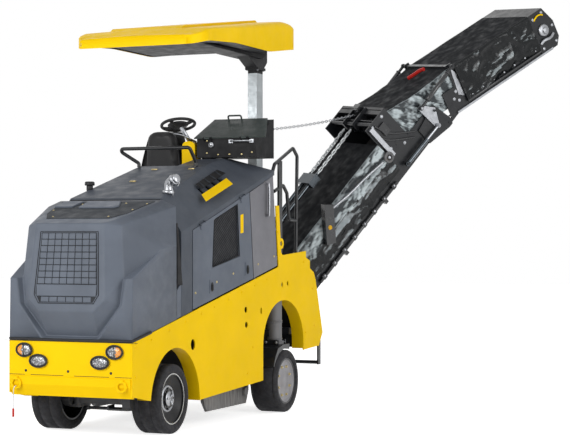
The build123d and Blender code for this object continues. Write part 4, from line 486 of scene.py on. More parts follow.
class Piece:
    """Collects solids in millimetres into one mesh, and gives it looks and a body."""

    def __init__(self, name, looks, body="chassis", place=None, slot=None):
        self.name = name
        self.looks = looks.split()
        self.body = body
        self.slot = slot or SLOT_OF[self.looks[0]]
        self.place = place or PLACES.get(body, MACHINE)
        self.bm = bmesh.new()

    def face(self, verts, look=0, smooth=False):
        """One face with its look."""
        face = self.bm.faces.new(verts)
        face.material_index = look
        face.smooth = smooth

    def prism(self, points, low, high, place=Matrix(), look=0):
        """A straight prism over an outline in the XY plane, from a low to a high Z."""
        rings = [[self.bm.verts.new(place @ Vector((x, y, z))) for x, y in points] for z in (low, high)]
        self.face(rings[0][::-1], look)
        self.face(rings[1], look)
        for i in range(len(points)):
            j = (i + 1) % len(points)
            self.face((rings[0][i], rings[0][j], rings[1][j], rings[1][i]), look)
        return self

    def flanks(self, points, inner, outer, look=0):
        """The same prism on both sides of the machine, over an outline seen from the side."""
        for s in BOTH:
            self.prism(points, *sorted((s * inner, s * outer)), YZ, look)
        return self

    def box(self, x, y, z, place=Matrix(), look=0):
        """A block between pairs of x, y and z."""
        return self.prism([(x[0], y[0]), (x[1], y[0]), (x[1], y[1]), (x[0], y[1])], z[0], z[1], place, look)

    def lathe(self, profile, place=Matrix(), sides=32, look=0, wave=0.0):
        """A turned form: (radius, height) pairs round the Z axis; wave moves every second row inwards."""
        rings = [[self.bm.verts.new(place @ spoke(r - wave * (k % 2), math.tau * k / sides, h)) for r, h in profile]
                 for k in range(sides)]
        for k, here in enumerate(rings):
            there = rings[(k + 1) % sides]
            for i in range(len(profile) - 1):
                self.face((here[i], there[i], there[i + 1], here[i + 1]), look, True)
        if profile[0][0] < 1e-6 or profile[-1][0] < 1e-6:
            bmesh.ops.remove_doubles(self.bm, verts=self.bm.verts, dist=1e-3)
        return self

    def rod(self, a, b, radius, sides=20, look=0):
        """A round bar with slightly domed ends between two points."""
        a, b = Vector(a), Vector(b)
        length = (b - a).length
        edge = radius * 0.15
        profile = [(0, 0), (radius - edge, 0), (radius, edge), (radius, length - edge), (radius - edge, length),
                   (0, length)]
        return self.lathe(profile, Matrix.Translation(a) @ facing(b - a), sides, look)

    def bolts(self, spots, way, radius, height, look=0):
        """Domed hexagon bolt heads on their washers."""
        for at in spots:
            place = Matrix.Translation(at) @ facing(way)
            wide, flat = radius * 1.35, height * 0.25
            self.lathe([(0, 0), (wide, 0), (wide, flat), (0, flat)], place, 14, look)
            self.lathe([(0, 0), (radius, height * 0.2), (radius, height * 0.85), (radius * 0.75, height), (0, height)],
                       place, 6, look)
        return self

    def tube(self, points, radius, sides=10, look=0, closed=False, rounds=2):
        """A bent tube through points, with its corners rounded."""
        path = [Vector(p) for p in points]
        for _ in range(rounds):
            pairs = list(zip(path, path[1:] + path[:1]))
            new = [p.lerp(q, k) for p, q in (pairs if closed else pairs[:-1]) for k in (0.25, 0.75)]
            path = new if closed else [path[0], *new, path[-1]]
        rings = []
        n = len(path)
        side = None
        for i, p in enumerate(path):
            ahead = path[(i + 1) % n] if closed or i < n - 1 else p
            back = path[i - 1] if closed or i > 0 else p
            way = (ahead - back).normalized()
            side = side or way.orthogonal().normalized()
            side = (side - way * side.dot(way)).normalized()
            up = way.cross(side)
            turns = [math.tau * k / sides for k in range(sides)]
            rings.append([self.bm.verts.new(p + (side * math.cos(a) + up * math.sin(a)) * radius) for a in turns])
        for i in range(n if closed else n - 1):
            here, there = rings[i], rings[(i + 1) % n]
            for k in range(sides):
                j = (k + 1) % sides
                self.face((here[k], here[j], there[j], there[k]), look, True)
        if not closed:
            self.face(rings[0][::-1], look)
            self.face(rings[-1], look)
        return self

    def grid(self, rows, look=0, smooth=True):
        """A surface through rows of points; look may be a function of the row and the column."""
        verts = [[self.bm.verts.new(p) for p in row] for row in rows]
        for i in range(len(verts) - 1):
            for j in range(len(verts[0]) - 1):
                self.face((verts[i][j], verts[i + 1][j], verts[i + 1][j + 1], verts[i][j + 1]),
                          look(i, j) if callable(look) else look, smooth)
        return self

    def done(self, bevel=0.0, steps=2, replaces=(), angle=32, wall=0.0):
        """Makes the object, with bevelled edges and perhaps a wall, and puts it on its body."""
        mesh = bpy.data.meshes.new(self.name)
        self.bm.to_mesh(mesh)
        self.bm.free()
        for look in self.looks:
            mesh.materials.append(M[look])
        obj = bpy.data.objects.new(self.name, mesh)
        scene.collection.objects.link(obj)
        mesh.transform(self.place)
        if self.place.determinant() < 0:
            mesh.flip_normals()
        if bevel:
            modifier = obj.modifiers.new("edges", "BEVEL")
            modifier.width = bevel * MM
            modifier.segments = steps
            modifier.limit_method = "ANGLE"
            modifier.angle_limit = math.radians(angle)
            modifier.harden_normals = wall > 0
        if wall:
            modifier = obj.modifiers.new("wall", "SOLIDIFY")
            modifier.thickness = wall * MM
            modifier.offset = -1
        if obj.modifiers:
            apply(obj)
        if self.body:
            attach(obj, self.body)
        if replaces:
            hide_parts(*replaces)
        return obj


# Hood: flat moulded panels with rounded edges, as one shell; each corner's half width, y and height
HOOD_REAR_Y = 10
NOSE = {
    "face_top": (300, -648, 1685),
    "face_side": (340, -708, 1090),
    "face_low": (237, -716, 1000),
    "top_front": (345, -565, 1710.3),
    "cheek_top": (417, -575, 1667),
    "wing_root": (452, -600, 1254),
    "chin_side": (425, -606, 1045),
    "chin_low": (225, -600, 800),
    "wing_edge_high": (456, -649, 1060),
    "wing_edge_low": (250, -650, 788),
    "wing_edge_top": (484, -646, 1256),
    "wing_top": (549, -640, 1256),
    "skirt_mid": (250, -650, 769),
    "skirt_low": (549, -650, 769),
    "ridge_end": (581, -235, 1472),
    "skirt_rear": (601, HOOD_REAR_Y, 918),
    "side_rear": (600, HOOD_REAR_Y, 1500),
    "shoulder": (594, HOOD_REAR_Y, 1826),
    "top_rear": (470, HOOD_REAR_Y, 1875.4),
}
CENTRE_PANELS = (
    "top_front top_rear",
    "face_top top_front",
    "face_side face_top",
    "face_low face_side",
    "chin_low face_low",
    "wing_edge_low chin_low",
    "skirt_mid wing_edge_low",
)
SIDE_PANELS = (
    "face_top cheek_top top_front",
    "top_front cheek_top shoulder top_rear",
    "face_top face_side wing_root cheek_top",
    "face_side chin_side wing_root",
    "face_low chin_low chin_side face_side",
    "wing_edge_low skirt_mid skirt_low wing_top wing_edge_top wing_edge_high",
    "chin_low wing_edge_low wing_edge_high chin_side",
    "chin_side wing_edge_high wing_edge_top wing_root",
    "cheek_top wing_root ridge_end side_rear shoulder",
    "wing_root wing_edge_top wing_top ridge_end",
    "wing_top skirt_low skirt_rear side_rear ridge_end",
)
shell = Piece("hood_shell", "hood", "front_hood")
corner = {(key, s): shell.bm.verts.new((s * x, y, z)) for s in (1, -1) for key, (x, y, z) in NOSE.items()}
for names in CENTRE_PANELS:
    low, high = names.split()
    shell.face((corner[low, -1], corner[low, 1], corner[high, 1], corner[high, -1]), smooth=True)
for names in SIDE_PANELS:
    keys = names.split()
    shell.face([corner[key, 1] for key in keys[::-1]], smooth=True)
    shell.face([corner[key, -1] for key in keys], smooth=True)
bmesh.ops.recalc_face_normals(shell.bm, faces=shell.bm.faces)
shell.done(16, 4, ["hood"], 7, 10)

# Nose: an embossed panel of pillows with a blank band, inside a groove; the near-black base seen between the pillows
# and the dark cord of the groove are painted shade
PILLOW_LOW = -12
PILLOW_TOP = 6.2
PILLOW_GAP = 2.5
PANEL_TOP = 1612
PANEL_MID = 1212
ROWS = 8
FACE_TOP = Vector(NOSE["face_top"])
FACE_LOW = Vector(NOSE["face_side"])
FACE_LEAN = math.atan2(FACE_TOP.y - FACE_LOW.y, FACE_TOP.z - FACE_LOW.z)
FACE = MACHINE @ turned(0, FACE_TOP.y, FACE_TOP.z) @ Matrix.Rotation(math.radians(90) - FACE_LEAN, 4, "X")
GRILLE = FACE @ turned(0, -FACE_TOP.z / math.cos(FACE_LEAN) + 6)
nose = Piece("nose_pillows", "hood hood_line", "front_hood", GRILLE)
nose.prism(twin([(248, 1618), (279, 1135), (240, 1068)]), -10, 0.8, look=1)


def pillow(x0, x1, z0, z1):
    """One raised field of the nose panel."""
    nose.box((x0 + PILLOW_GAP, x1 - PILLOW_GAP), (z0 + PILLOW_GAP, z1 - PILLOW_GAP), (PILLOW_LOW, PILLOW_TOP))


for row in range(ROWS):
    z0, z1 = (PANEL_TOP - (PANEL_TOP - PANEL_MID) * (row + k) / ROWS for k in (1, 0))
    half = 240 + 0.056 * (PANEL_TOP - z0)
    for k in range(ROWS):
        pillow(half * (2 * k / ROWS - 1), half * (2 * (k + 1) / ROWS - 1), z0, z1)
nose.prism(twin([(264, 1118), (268, 1208)]), PILLOW_LOW, PILLOW_TOP)
for k in range(6):
    pillow(-225 + 75 * k, -150 + 75 * k, 1070.5, 1114.5)
nose.done(4.5, 3)
# a dark cord round the panel: painted shade of the groove
groove = [(x, z, 2) for x, z in twin([(256, 1622), (287, 1130), (245, 1062)])]
Piece("nose_groove", "liner", "front_hood", GRILLE).tube(groove, 3, 6, closed=True, rounds=0).done()

# Top of the hood: a dark lid with raised pads, small bolts, the filler cap and the pipe elbow
Piece("hood_top_lid", "hood_deep", "front_hood", HOOD_TOP).prism(
    twin([(285, -545), (365, -400), (430, -30)]), -10, 4).done(3)
pads = Piece("hood_top_pads", "hood", "front_hood", HOOD_TOP)
pads.prism([(-160, -245), (160, -245), (190, -200), (130, -50), (-170, -50)], 0, 16)
pads.prism([(-400, -220), (-230, -220), (-210, -50), (-390, -50)], 0, 16).done(6, 3)
LID_BOLTS = ((-360, -300), (-250, -500), (250, -500), (360, -300), (400, -120), (200, -100), (-190, -120))
Piece("hood_top_bolts", "brass", "front_hood", HOOD_TOP).bolts([(x, y, 4) for x, y in LID_BOLTS], UP, 7, 5).done()
CAP_AT = (-405, 380)
cap = Piece("filler_cap", "grip").rod((*CAP_AT, 1968), (*CAP_AT, 2020), 28)
cap.lathe([(0, 0), (40, 0), (43, 8), (41, 28), (34, 34), (0, 34)], turned(*CAP_AT, 2014), 20, wave=3).done()
PIPE_X = 405
PIPE_Y = 250


def from_pipe(along, across, z):
    """A place at a distance along the elbow's outlet and across it."""
    return (PIPE_X + 0.94 * along + 0.34 * across, PIPE_Y - 0.34 * along + 0.94 * across, z)


elbow = Piece("pipe_elbow", "polished")
elbow.rod((PIPE_X, PIPE_Y, 1930), (PIPE_X, PIPE_Y, 1962), 50, 28)
elbow.tube([from_pipe(along, 0, z) for along, z in ((0, 1955), (0, 2002), (18, 2032), (60, 2045))], 36, 24)
elbow.rod(from_pipe(45, 0, 2041), from_pipe(85, 0, 2053), 46, 28)
elbow.rod(from_pipe(80, 0, 2052), from_pipe(108, 0, 2060), 38, 28)
for s in BOTH:
    clip = ((50, 46, 2043), (75, 56, 2030), (55, 50, 1995))
    elbow.tube([from_pipe(along, across * s, z) for along, across, z in clip], 6, 8)
elbow.done()
Piece("pipe_cap_chain", "silver").tube(
    [(440, 215, 2010), (468, 195, 1975), (478, 190, 1935), (466, 205, 1905), (448, 235, 1915)],
    4, 6).done()

# Side doors, both sides: mesh windows in a rubber rim, latches, and a blank plate
WINDOW = [(600, 1334), (606, 1330), (1052, 1420), (1058, 1426), (1026, 1846), (1018, 1852), (634, 1722), (626, 1712)]
for side, place in SIDES:
    body = side + "_door"
    Piece("door_mesh_" + side, "mesh", body, place).prism(WINDOW, -15.8, -13.5).done()
    Piece("door_rim_" + side, "liner", body, place).tube(
        [(y, z, -4) for y, z in WINDOW], 4, 6, closed=True, rounds=1).done()
    latch = Piece("door_latches_" + side, "grip", body, place)
    for y, z in ((580, 1163), (1198, 1297)):
        latch.prism([(y + a, z + b) for a, b in oval(40, 78, 16)], 2, 8)
        latch.box((y - 10, y + 10), (z - 28, z + 20), (6, 14))
    latch.done(2.5)
Piece("door_plate", "yellow", "left_door", SIDE).prism(
    [(1078, 1610), (1130, 1616), (1130, 1778), (1078, 1768)], -4, -2.5).done()
Piece("rear_door_grip", "polished", "rear_door", SIDE).tube(
    [(1530, 1765, 30), (1530, 1770, 40), (1530, 2050, 40), (1530, 2055, 30)],
    7, 12, rounds=1).done()


# Roof slope: a yellow stripe and louvres
def on_slope(y, share, rise=0):
    """A point on the left roof slope, a share of the way up from the crease."""
    low = Vector((half_width(y) - 4, y, CREASE_Z0 + CREASE_SLOPE * y))
    high = Vector((430 - 0.085 * y, y, roof_z(y)))
    out = (high - low).cross(Vector((0, 1, CREASE_SLOPE))).normalized()
    return low.lerp(high, share) + (out if out.x > 0 else -out) * rise


STRIPE_STEPS = 12
STRIPE = ((0.08, 0), (0.08, 1.2), (0.34, 1.2), (0.34, 0))
Piece("roof_stripe", "yellow").grid(
    [[on_slope(520 + 50 * (share - 0.08) / 0.26 + 470 * k / STRIPE_STEPS, share, rise)
      for k in range(STRIPE_STEPS + 1)] for share, rise in STRIPE], smooth=False).done()
# Louvres: a flat black patch as painted shade of their recess, with dark grey fins across it
louvres = Piece("roof_louvres", "liner hood_deep")
louvres.grid([[on_slope(y, share, 1.5) for y in (660, 800, 1000, 1130)] for share in (0.48, 0.6, 0.72)], smooth=False)
for k in range(4):
    y = 710 + 112 * k
    louvres.tube([on_slope(y, 0.5, 2), on_slope(y + 20, 0.7, 2)], 7, 8, look=1, rounds=0)
louvres.done()

# Bolts along the seam, and hinges on the roof
Piece("seam_bolts_dark", "brass", place=SIDE).bolts([(y, seam_z(y) + 115, -4) for y in (1400, 1698)], UP, 8, 5).done()
SEAM_BOLTS = (-590, -366, -100, 160, 407, 621, 857, 1100, 1334, 1560)
PANEL_BOLTS = ((-600, 500), (-600, 760), (1200, 400), (1300, 620), (2320, 700), (2500, 750), (2460, 1100),
               (2280, 1350), (1750, 1780), (1770, 1620))
for side, place in SIDES:
    Piece("door_bolts_" + side, "brass", side + "_door", place).bolts(
        [(317, 1120, -4), (668, 1202, -4), (953, 1267, -4)], UP, 8, 5).done()
    bolts = Piece("panel_bolts_" + side, "yellow", place=place)
    bolts.bolts([(y, seam_z(y) - 55, 0) for y in SEAM_BOLTS], UP, 8, 5)
    bolts.bolts([(y, z, 0) for y, z in PANEL_BOLTS], UP, 9, 6).done()
hinges = Piece("roof_hinges", "brass")
for x, y in ((-120, 620), (240, 620), (-120, 1020), (240, 1020)):
    place = turned(x, y, roof_z(y), math.degrees(math.atan(ROOF_SLOPE)))
    hinges.box((-30, 30), (-12, 12), (0, 3), place)
    hinges.rod(place @ Vector((-28, 0, 4)), place @ Vector((28, 0, 4)), 5, 8)
    hinges.bolts([place @ Vector((dx, 8, 3)) for dx in (-18, 18)], (0, -0.28, 1), 4, 3)
hinges.done(1, 1)

# Front: lamps, seams in the panel, bolts, the safety pin on the right tow ring, and a bracket
LAMPS = ((-403, 690, 136, 98), (403, 690, 136, 98), (-275, 606, 150, 92), (275, 606, 150, 92))
LAMP_FACE = 14
DOME = [(1, -2), (0.96, 2), (0.85, 6), (0.65, 9.8), (0.35, 12.2), (0, 13)]
lenses = Piece("lamp_lenses", "lens amber", place=FRONT)
bezels = Piece("lamp_bezels", "grip", place=FRONT)
for x, z, w, h in LAMPS:
    before = len(lenses.bm.faces)
    lenses.lathe(DOME, turned(x, z, LAMP_FACE) @ Matrix.Diagonal((w / 2 - 4, h / 2 - 4, 1, 1)), 40)
    bezels.tube([(x + a, z + b, LAMP_FACE + 2) for a, b in oval(w + 4, h + 4, 32)], 7.5, 8, closed=True, rounds=0)
    if abs(x) > 300:
        lenses.bm.faces.ensure_lookup_table()
        for face in lenses.bm.faces[before:]:
            if (face.calc_center_median().x - x) * x > 6000:
                face.material_index = 1
        bar = x + math.copysign(2, x)
        bezels.box((bar - 2, bar + 2), (z - h / 2 + 10, z + h / 2 - 10), (LAMP_FACE, LAMP_FACE + 14.5))
lenses.done()
bezels.done()
seams = Piece("front_seams", "liner", place=FRONT, slot="black_steel")
for x0, x1 in ((-545, -405), (-350, -55), (40, 350), (400, 545)):
    seams.box((x0, x1), (493.5, 497.5), (-4, 0.6))
seams.box((-596, 596), (760, 763), (-4, 0.6)).done()
Piece("front_bolts", "black", place=FRONT).bolts([(-395, 527, 0), (-13, 529, 0), (366, 526, 0)], UP, 8, 6).done()
pin = Piece("safety_pin", "zinc red")
pin.tube([(-470, -672, 405), (-486, -684, 395), (-490, -684, 300), (-490, -682, 220)], 3.5, 8)
pin.rod((-490, -682, 226), (-490, -682, 160), 8.5, 12, look=1).done()
bracket = Piece("front_bracket", "black")
bracket.box((250, 440), (-500, -400), (222, 236)).box((370, 440), (-480, -400), (230, 400))
bracket.box((250, 264), (-500, -400), (230, 262)).done(3)

# Wheels: treaded tyres, rims and hub caps
BEAD = [(206.2, -116), (214, -122.5), (232, -126.2), (250, -127), (253.5, -125), (266, -121.5),
        (276, -114), (TYRE_R, -104)]
GROOVE_HALF = 2.5
GROOVE_R = TYRE_R - 2.5


def tyre_profile(grooves):
    """The tyre's section from its inner bead over the tread to its outer bead and back."""
    points = list(BEAD)
    for g in grooves:
        points += [(TYRE_R, g - GROOVE_HALF), (GROOVE_R, g - GROOVE_HALF + 1),
                   (GROOVE_R, g + GROOVE_HALF - 1), (TYRE_R, g + GROOVE_HALF)]
    return points + [(r, -h) for r, h in BEAD[::-1]] + BEAD[:1]


for axle, track, y, grooves in (("front", FRONT_TRACK, 0, (-50, 50)), ("rear", REAR_TRACK, WHEELBASE, (-94, 94))):
    for side, s in (("left", 1), ("right", -1)):
        key = f"{axle}_{side}"
        body = key + "_wheel"
        at = MACHINE @ turned(s * track, y, TYRE_R, 0, 90 * s)
        Piece("tyre_" + key + "_treaded", "tyre", body, at).lathe(
            tyre_profile(grooves), sides=120).done(replaces=["tyre_" + key])
        hub = Piece("hub_" + key, "silver" if axle == "front" else "rim_grey", body, at)
        if axle == "front":
            hub.lathe([(0, 96), (20, 96), (24, 90), (52, 88), (62, 80), (68, 56), (0, 56)], sides=40)
            for k in range(3):
                a = math.tau * k / 3 + 0.4
                hub.tube([spoke(14, a, 95), spoke(52, a, 90)], 8, 8, rounds=0)
            Piece("rim_ring_" + key, "white", body, at).lathe(
                [(196, 114.5), (203.5, 116.5), (205, 113), (205, 108), (196, 108)],
                sides=72).done()
            dish = Piece("rim_dish_" + key, "grip silver", body, at, slot="black_steel")
            dish.lathe([(50, 60), (108, 64), (112, 70), (186, 92), (196, 108.5)], sides=72)
            dish.lathe([(86, 60), (90, 72), (104, 74), (110, 62)], sides=72, look=1).done()
        else:
            hub.lathe([(0, 98), (60, 98), (66, 90), (180, 90), (186, 94), (190, 110),
                       (194.5, 110), (194.5, 80), (0, 80)], sides=60)
            Piece("wheel_nuts_" + key, "brass", body, at).bolts(
                [spoke(135, math.tau * (k + 0.5) / 8, 90) for k in range(8)], UP, 10.5, 14).done()
        hub.done()

# Canopy's black liner below, with its spine
LOW_LINE = [(600, 3224), (1150, 3268), (1900, 3268), (2420, 3335)]
liner = Piece("canopy_liner", "liner_gloss", "roof")
liner.prism(LOW_LINE + [(y, z + 12) for y, z in LOW_LINE[::-1]], -580, 580, YZ)
liner.prism([(800, 3252), (1000, 3238), (1720, 3234), (2200, 3234), (2300, 3285)], 180, 400, YZ).done(6)


# Conveyor: draped sheets over both sections
def crumple(u, w, depth, seed=0.0):
    """Height of the folds of a loose sheet at a place along it and across it."""
    u, w = u * MM, w * MM
    p = Vector((u * 2.2 + w * 1.4 + seed, w * 4.6 - u * 1.1, seed))
    q = Vector((u * 5.0 - w * 3.0, w * 9.0 + u * 2.0, seed + 4.0))
    return depth * (0.6 - 1.9 * abs(noise.noise(p)) - 0.8 * abs(noise.noise(q)) - 0.3 * abs(noise.noise(q * 2.6)))


def fold_light(u, w, depth, seed):
    """From 0 to 1, how far a fold's face turns up to the light."""
    step = 6
    slope = (crumple(u, w + step, depth, seed) - crumple(u, w - step, depth, seed)) / (2 * step)
    across = (crumple(u + step, w, depth, seed) - crumple(u - step, w, depth, seed)) / (2 * step)
    return min(1.0, max(0.0, 0.45 + 1.1 * slope + 0.35 * across))


def store_folds(obj, lights):
    """Keeps the light on the folds as a value of each vertex."""
    obj.data.attributes.new("fold", "FLOAT", "POINT").data.foreach_set("value", lights)


SHEET_HALF = 378
STEPS_U = 200
STEPS_W = 90


def draped_sheet(name, place, body, node, start, end, low, top, looks, depth, seed):
    """A sheet that hangs over a belt section, wrinkled on its sides and taut on top."""
    flat_half = top - low + SHEET_HALF
    lights = []
    rows = []
    for i in range(STEPS_U + 1):
        u = start + (end - start) * i / STEPS_U
        row = []
        for j in range(STEPS_W + 1):
            w = -flat_half + 2 * flat_half * j / STEPS_W
            over = abs(w) - SHEET_HALF
            if over <= 0:
                row.append((w, u, top + 4 * noise.noise(Vector((u * 3 * MM, w * 3 * MM, seed)))))
                lights.append(0.5)
            else:
                slack = min(1.0, over / 50)
                out = SHEET_HALF + 14 + crumple(u, abs(w), depth * slack, seed)
                hang = top - over + 0.25 * depth * noise.noise(Vector((u * 5 * MM, 7.0, seed))) * slack
                row.append((math.copysign(out, w), u, hang))
                lights.append(fold_light(u, abs(w), depth, seed))
        rows.append(row)
    split = (flat_half - SHEET_HALF) / (2 * flat_half)
    band = split * 0.55 if looks.count(" ") > 1 else split

    def pick(i, j):
        """Matt on top, then a pale band of clear sheet whose paleness is painted reflection, then the glossy lower
        part of the side.
        """
        out = abs((j + 0.5) / STEPS_W - 0.5) - 0.5 + split
        if out < -0.006:
            return 0
        return 1 if out < band + 0.012 * noise.noise(Vector((i * 0.07, 3.0, seed))) else looks.count(" ")

    obj = Piece(name, looks, body).grid(rows, look=pick).done(replaces=[node])
    store_folds(obj, lights)


draped_sheet("lower_sheet", LOWER, "lower_conveyor", "lower_cover", 600, 2015, 85, 445,
             "matt_black clear gloss_streaked", 30, 3.0)
draped_sheet("upper_sheet", UPPER, "upper_conveyor", "upper_cover", 300, 1352, 60, 446,
             "matt_black gloss_black", 28, 11.0)

# Lower section: rail, roller brackets, marker box, pipe and pulley
FRAME_X = 376
RAIL_X = 392
trim = Piece("lower_trim", "gloss_paint silver", "lower_conveyor")
for s in BOTH:
    x = s * RAIL_X
    trim.tube([(x, 620, 28), (x, 1900, 28)], 20, 12, rounds=0)
    for k in range(1, 9):
        u = 500 + 165 * k
        trim.box((x - 22, x + 22), (u, u + 40), (-18 if k % 4 == 3 else 10, 58))
        trim.bolts([(s * 418, u + 25, 40)], (s, 0, 0), 8, 7, look=1)
trim.done(3, 1)
marker = Piece("marker_box", "gloss_paint amber_dot", "lower_conveyor")
marker.prism([(905, 255), (985, 190), (1235, 470), (1165, 545)], 400, 465, YZ)
marker.bolts([(465, 1050, 345)], (1, 0, 0), 16, 6, look=1).done(6, 2)
PULLEY = [(0, 0), (52, 0), (56, 6), (50, 12), (50, 18), (56, 24), (52, 30), (0, 30)]
pipe = Piece("lower_pipe", "silver worn", "lower_conveyor")
pipe.tube([(412, 1190, 430), (416, 1450, 372), (418, 1660, 352), (420, 1930, 300)], 11, 10)
pipe.lathe(PULLEY, turned(400, 2004, 283, 0, 90), 40, look=1)
pipe.bolts([(430, 2004, 283)], (1, 0, 0), 13, 10).done()

# Fold: bolts, hose ends and bars on the gantry, its plate and its lamp
FOLD_BOLTS = ((2100, 600), (2250, 600), (2100, 300), (2250, 220), (2470, 60), (2550, 130))
FOLD_PIPES = (((387, 2060, 580), (388, 2100, 420), (387, 2220, 300), (388, 2360, 180)),
              ((387, 2120, 600), (388, 2170, 440), (387, 2280, 330), (388, 2400, 220)))
gear = Piece("fold_fittings", "gloss_paint silver brass", "lower_conveyor")
for s in BOTH:
    x = s * FRAME_X
    gear.bolts([(x, u, n) for u, n in FOLD_BOLTS], (s, 0, 0), 13, 10, look=1)
    for line in FOLD_PIPES:
        gear.tube([(s * across, u, n) for across, u, n in line], 10, 8)
    gear.box(sorted((x, x + s * 22)), (2140, 2220), (440, 560))
    gear.box(sorted((x, x + s * 30)), (2040, 2090), (240, 620), look=1 if s > 0 else 0)
gear.box((-372, 372), (2150, 2158), (455, 640))
for x in (-270, -190, 190, 270):
    gear.lathe([(0, 0), (22, 0), (22, 4), (28, 4), (28, 0)], turned(x, 2150, 520, 90), 20)
gear.done(3, 1)
Piece("gantry_lamp", "gloss_paint lens", "lower_conveyor", slot="lamp").box(
    (-50, 50), (2250, 2310), (645, 705)).box(
    (-40, 40), (2244, 2250), (655, 695), look=1).done(5, 2)

# Upper section: lower edge, motor, yellow arc, head bolts and the silver plates at its near end
UPPER_RAIL_X = 396
HEAD_Y = 1470
HEAD_Z = 225
MOTOR = [(0, 0), (62, 0), (66, 10), (56, 24), (34, 28), (30, 50), (0, 52)]
HEAD_BOLTS = ((1400, 50), (1580, 50), (1600, 220), (1400, 380), (1530, 400))
edge = Piece("upper_trim", "gloss_paint silver yellow", "upper_conveyor")
for s in BOTH:
    x = s * UPPER_RAIL_X
    edge.box(sorted((s * 377, x)), (140, 1500), (-6, 16), look=1)
    edge.tube([(x, 300, 50), (x, 1340, 50)], 12, 10, rounds=0)
    edge.bolts([(s * 393, 380 + 150 * k, 85) for k in range(7)], (s, 0, 0), 8, 8, look=1)
    edge.bolts([(s * FRAME_X, u, n) for u, n in ((220, 100), (260, 160), (220, 200), (170, 140))],
               (s, 0, 0), 13, 10, look=1)
edge.lathe(MOTOR, turned(388, HEAD_Y, HEAD_Z, 0, 90), 36, look=1)
arc = [math.radians(125 - 8 * k) for k in range(9)]
edge.tube([(UPPER_RAIL_X, HEAD_Y + 120 * math.cos(a), HEAD_Z + 170 * math.sin(a)) for a in arc],
          8, 8, look=2, rounds=1)
edge.bolts([(387, u, n) for u, n in HEAD_BOLTS], (1, 0, 0), 12, 8, look=1)
edge.tube([(392, 1380, 110), (415, 1420, 140), (415, 1500, 120), (392, 1570, 140)], 16, 10, look=1)
edge.done(2, 1)
Piece("fold_plates", "silver", "upper_conveyor").flanks(
    [(235, 155), (300, 110), (325, 330), (262, 440)], 376.5, 381).done(2, 1)
Piece("red_lever", "red", "upper_conveyor").tube(
    [(-30, 20, 455), (20, 50, 470), (100, 100, 500), (150, 120, 505)], 20, 10).done()

# Chain between the gantry and the mast: oval links in a row, each a quarter turn from the last
LINK_PITCH = 30
LINK_WIRE = 3.5
LINK_WIDE = 11
CHAIN_SAG = 20
chain = Piece("mast_chain", "silver", "lower_conveyor", MACHINE)
MAST_HOOK = Vector((330, 2220, 2570))
GANTRY_HOOK = UNPLACE @ LOWER @ Vector((-41, 2236, 622))
links = round((GANTRY_HOOK - MAST_HOOK).length / LINK_PITCH)
long = LINK_PITCH + 2 * LINK_WIRE
for k in range(links):
    p, q = (MAST_HOOK.lerp(GANTRY_HOOK, m) - Vector((0, 0, CHAIN_SAG * math.sin(math.pi * m)))
            for m in ((k + 0.5) / links, (k + 1) / links))
    place = Matrix.Translation(p) @ facing(q - p, "X", "Z") @ turned(rx=90 * (k % 2))
    chain.tube([place @ Vector((x, y, 0)) for x, y in oval(long, 2 * LINK_WIDE, 8)], LINK_WIRE, 6,
               closed=True, rounds=1)
chain.done()

# Dark plates behind the open joints of the hood, as painted shade where its shaded inside would show, and a dark strip
# under its front edge; its rubber seal; and the slots in its sides, filled in hood grey with dark wedges of painted
# shadow at their mouths
# Painted shade: dark plates that close the joints of the hood
shade_fillers = Piece("gap_shade_fillers", "liner")
for x0, x1 in ((-420, -225), (-150, 150), (225, 420)):
    shade_fillers.box((x0, x1), (18, 46), (1800, 1862))
shade_fillers.box((-420, 420), (74, 79), (1800, 1884))
for s in BOTH:
    shade_fillers.box(sorted((s * 300, s * 591)), (32, 50), (940, 1690))
    shade_fillers.box(sorted((s * 300, s * 562)), (32, 50), (1690, 1800))
shade_fillers.box((-535, 535), (-640, -626), (744, 760)).done()
SEAL = [(572, -380, 832), (553, -630, 779), (530, -655, 774)]
Piece("hood_seal", "grip", "front_hood").tube(SEAL + [(-x, y, z) for x, y, z in SEAL[::-1]], 12, 10).done()
Piece("slot_filler", "hood").flanks([(18, 920), (96, 938), (96, 1207), (18, 1150)], 560, 601.5).done(2, 1)
# Painted shadow: dark wedges at the mouths of the side slots
slot_shadow = Piece("slot_painted_shadow", "liner")
for s in BOTH:
    rows = [[(s * (half_width(y) + 2.5), y, z) for y in (20, (20 + y1) / 2, y1)[::s]]
            for y1, z in ((34, 1640), (52, 1500), (78, 1330), (100, 1190))]
    slot_shadow.grid(rows)
slot_shadow.done()

# Wear plates beside the drum, and the brackets and collars of the rear legs
WEAR_OUTLINE = [(625, 395), (625, 215), (640, 165), (670, 128), (715, 110), (1490, 110),
                (1548, 222), (1548, 300), (1440, 400)]
WEAR_X = 547.5
wear = Piece("wear_plates", "streaked grip").flanks(WEAR_OUTLINE, 544.5, WEAR_X)
for s in BOTH:
    wear.lathe([(0, 0), (24, 0), (24, 8), (16, 12), (16, 6), (0, 6)],
               turned(s * WEAR_X, 1480, 270, 0, 90 * s), 24, look=1)
wear.done(1, 1)
GUARD = [(2000, 562), (1910, 575), (1850, 569), (1760, 534), (1690, 477), (1650, 420), (1636, 430),
         (1676, 510), (1738, 583), (1858, 611), (2000, 612)]
forks = Piece("leg_brackets", "black silver").flanks(GUARD, 535, 752)
collars = Piece("leg_collars", "worn")
for s in BOTH:
    x = s * REAR_TRACK
    for y in (1835, 1985):
        forks.box((x - 75, x + 75), (y - 8, y + 8), (600, 650))
        forks.bolts([(x + dx, y - 8, 630) for dx in (-50, 50)], (0, -1, 0), 10, 10, look=1)
    for z in (655, 800, 815):
        collars.lathe([(66.5, 0), (71, 2), (71, 10), (66.5, 12), (66.5, 0)], turned(x, WHEELBASE, z), 40)
forks.done(4, 2)
collars.done()

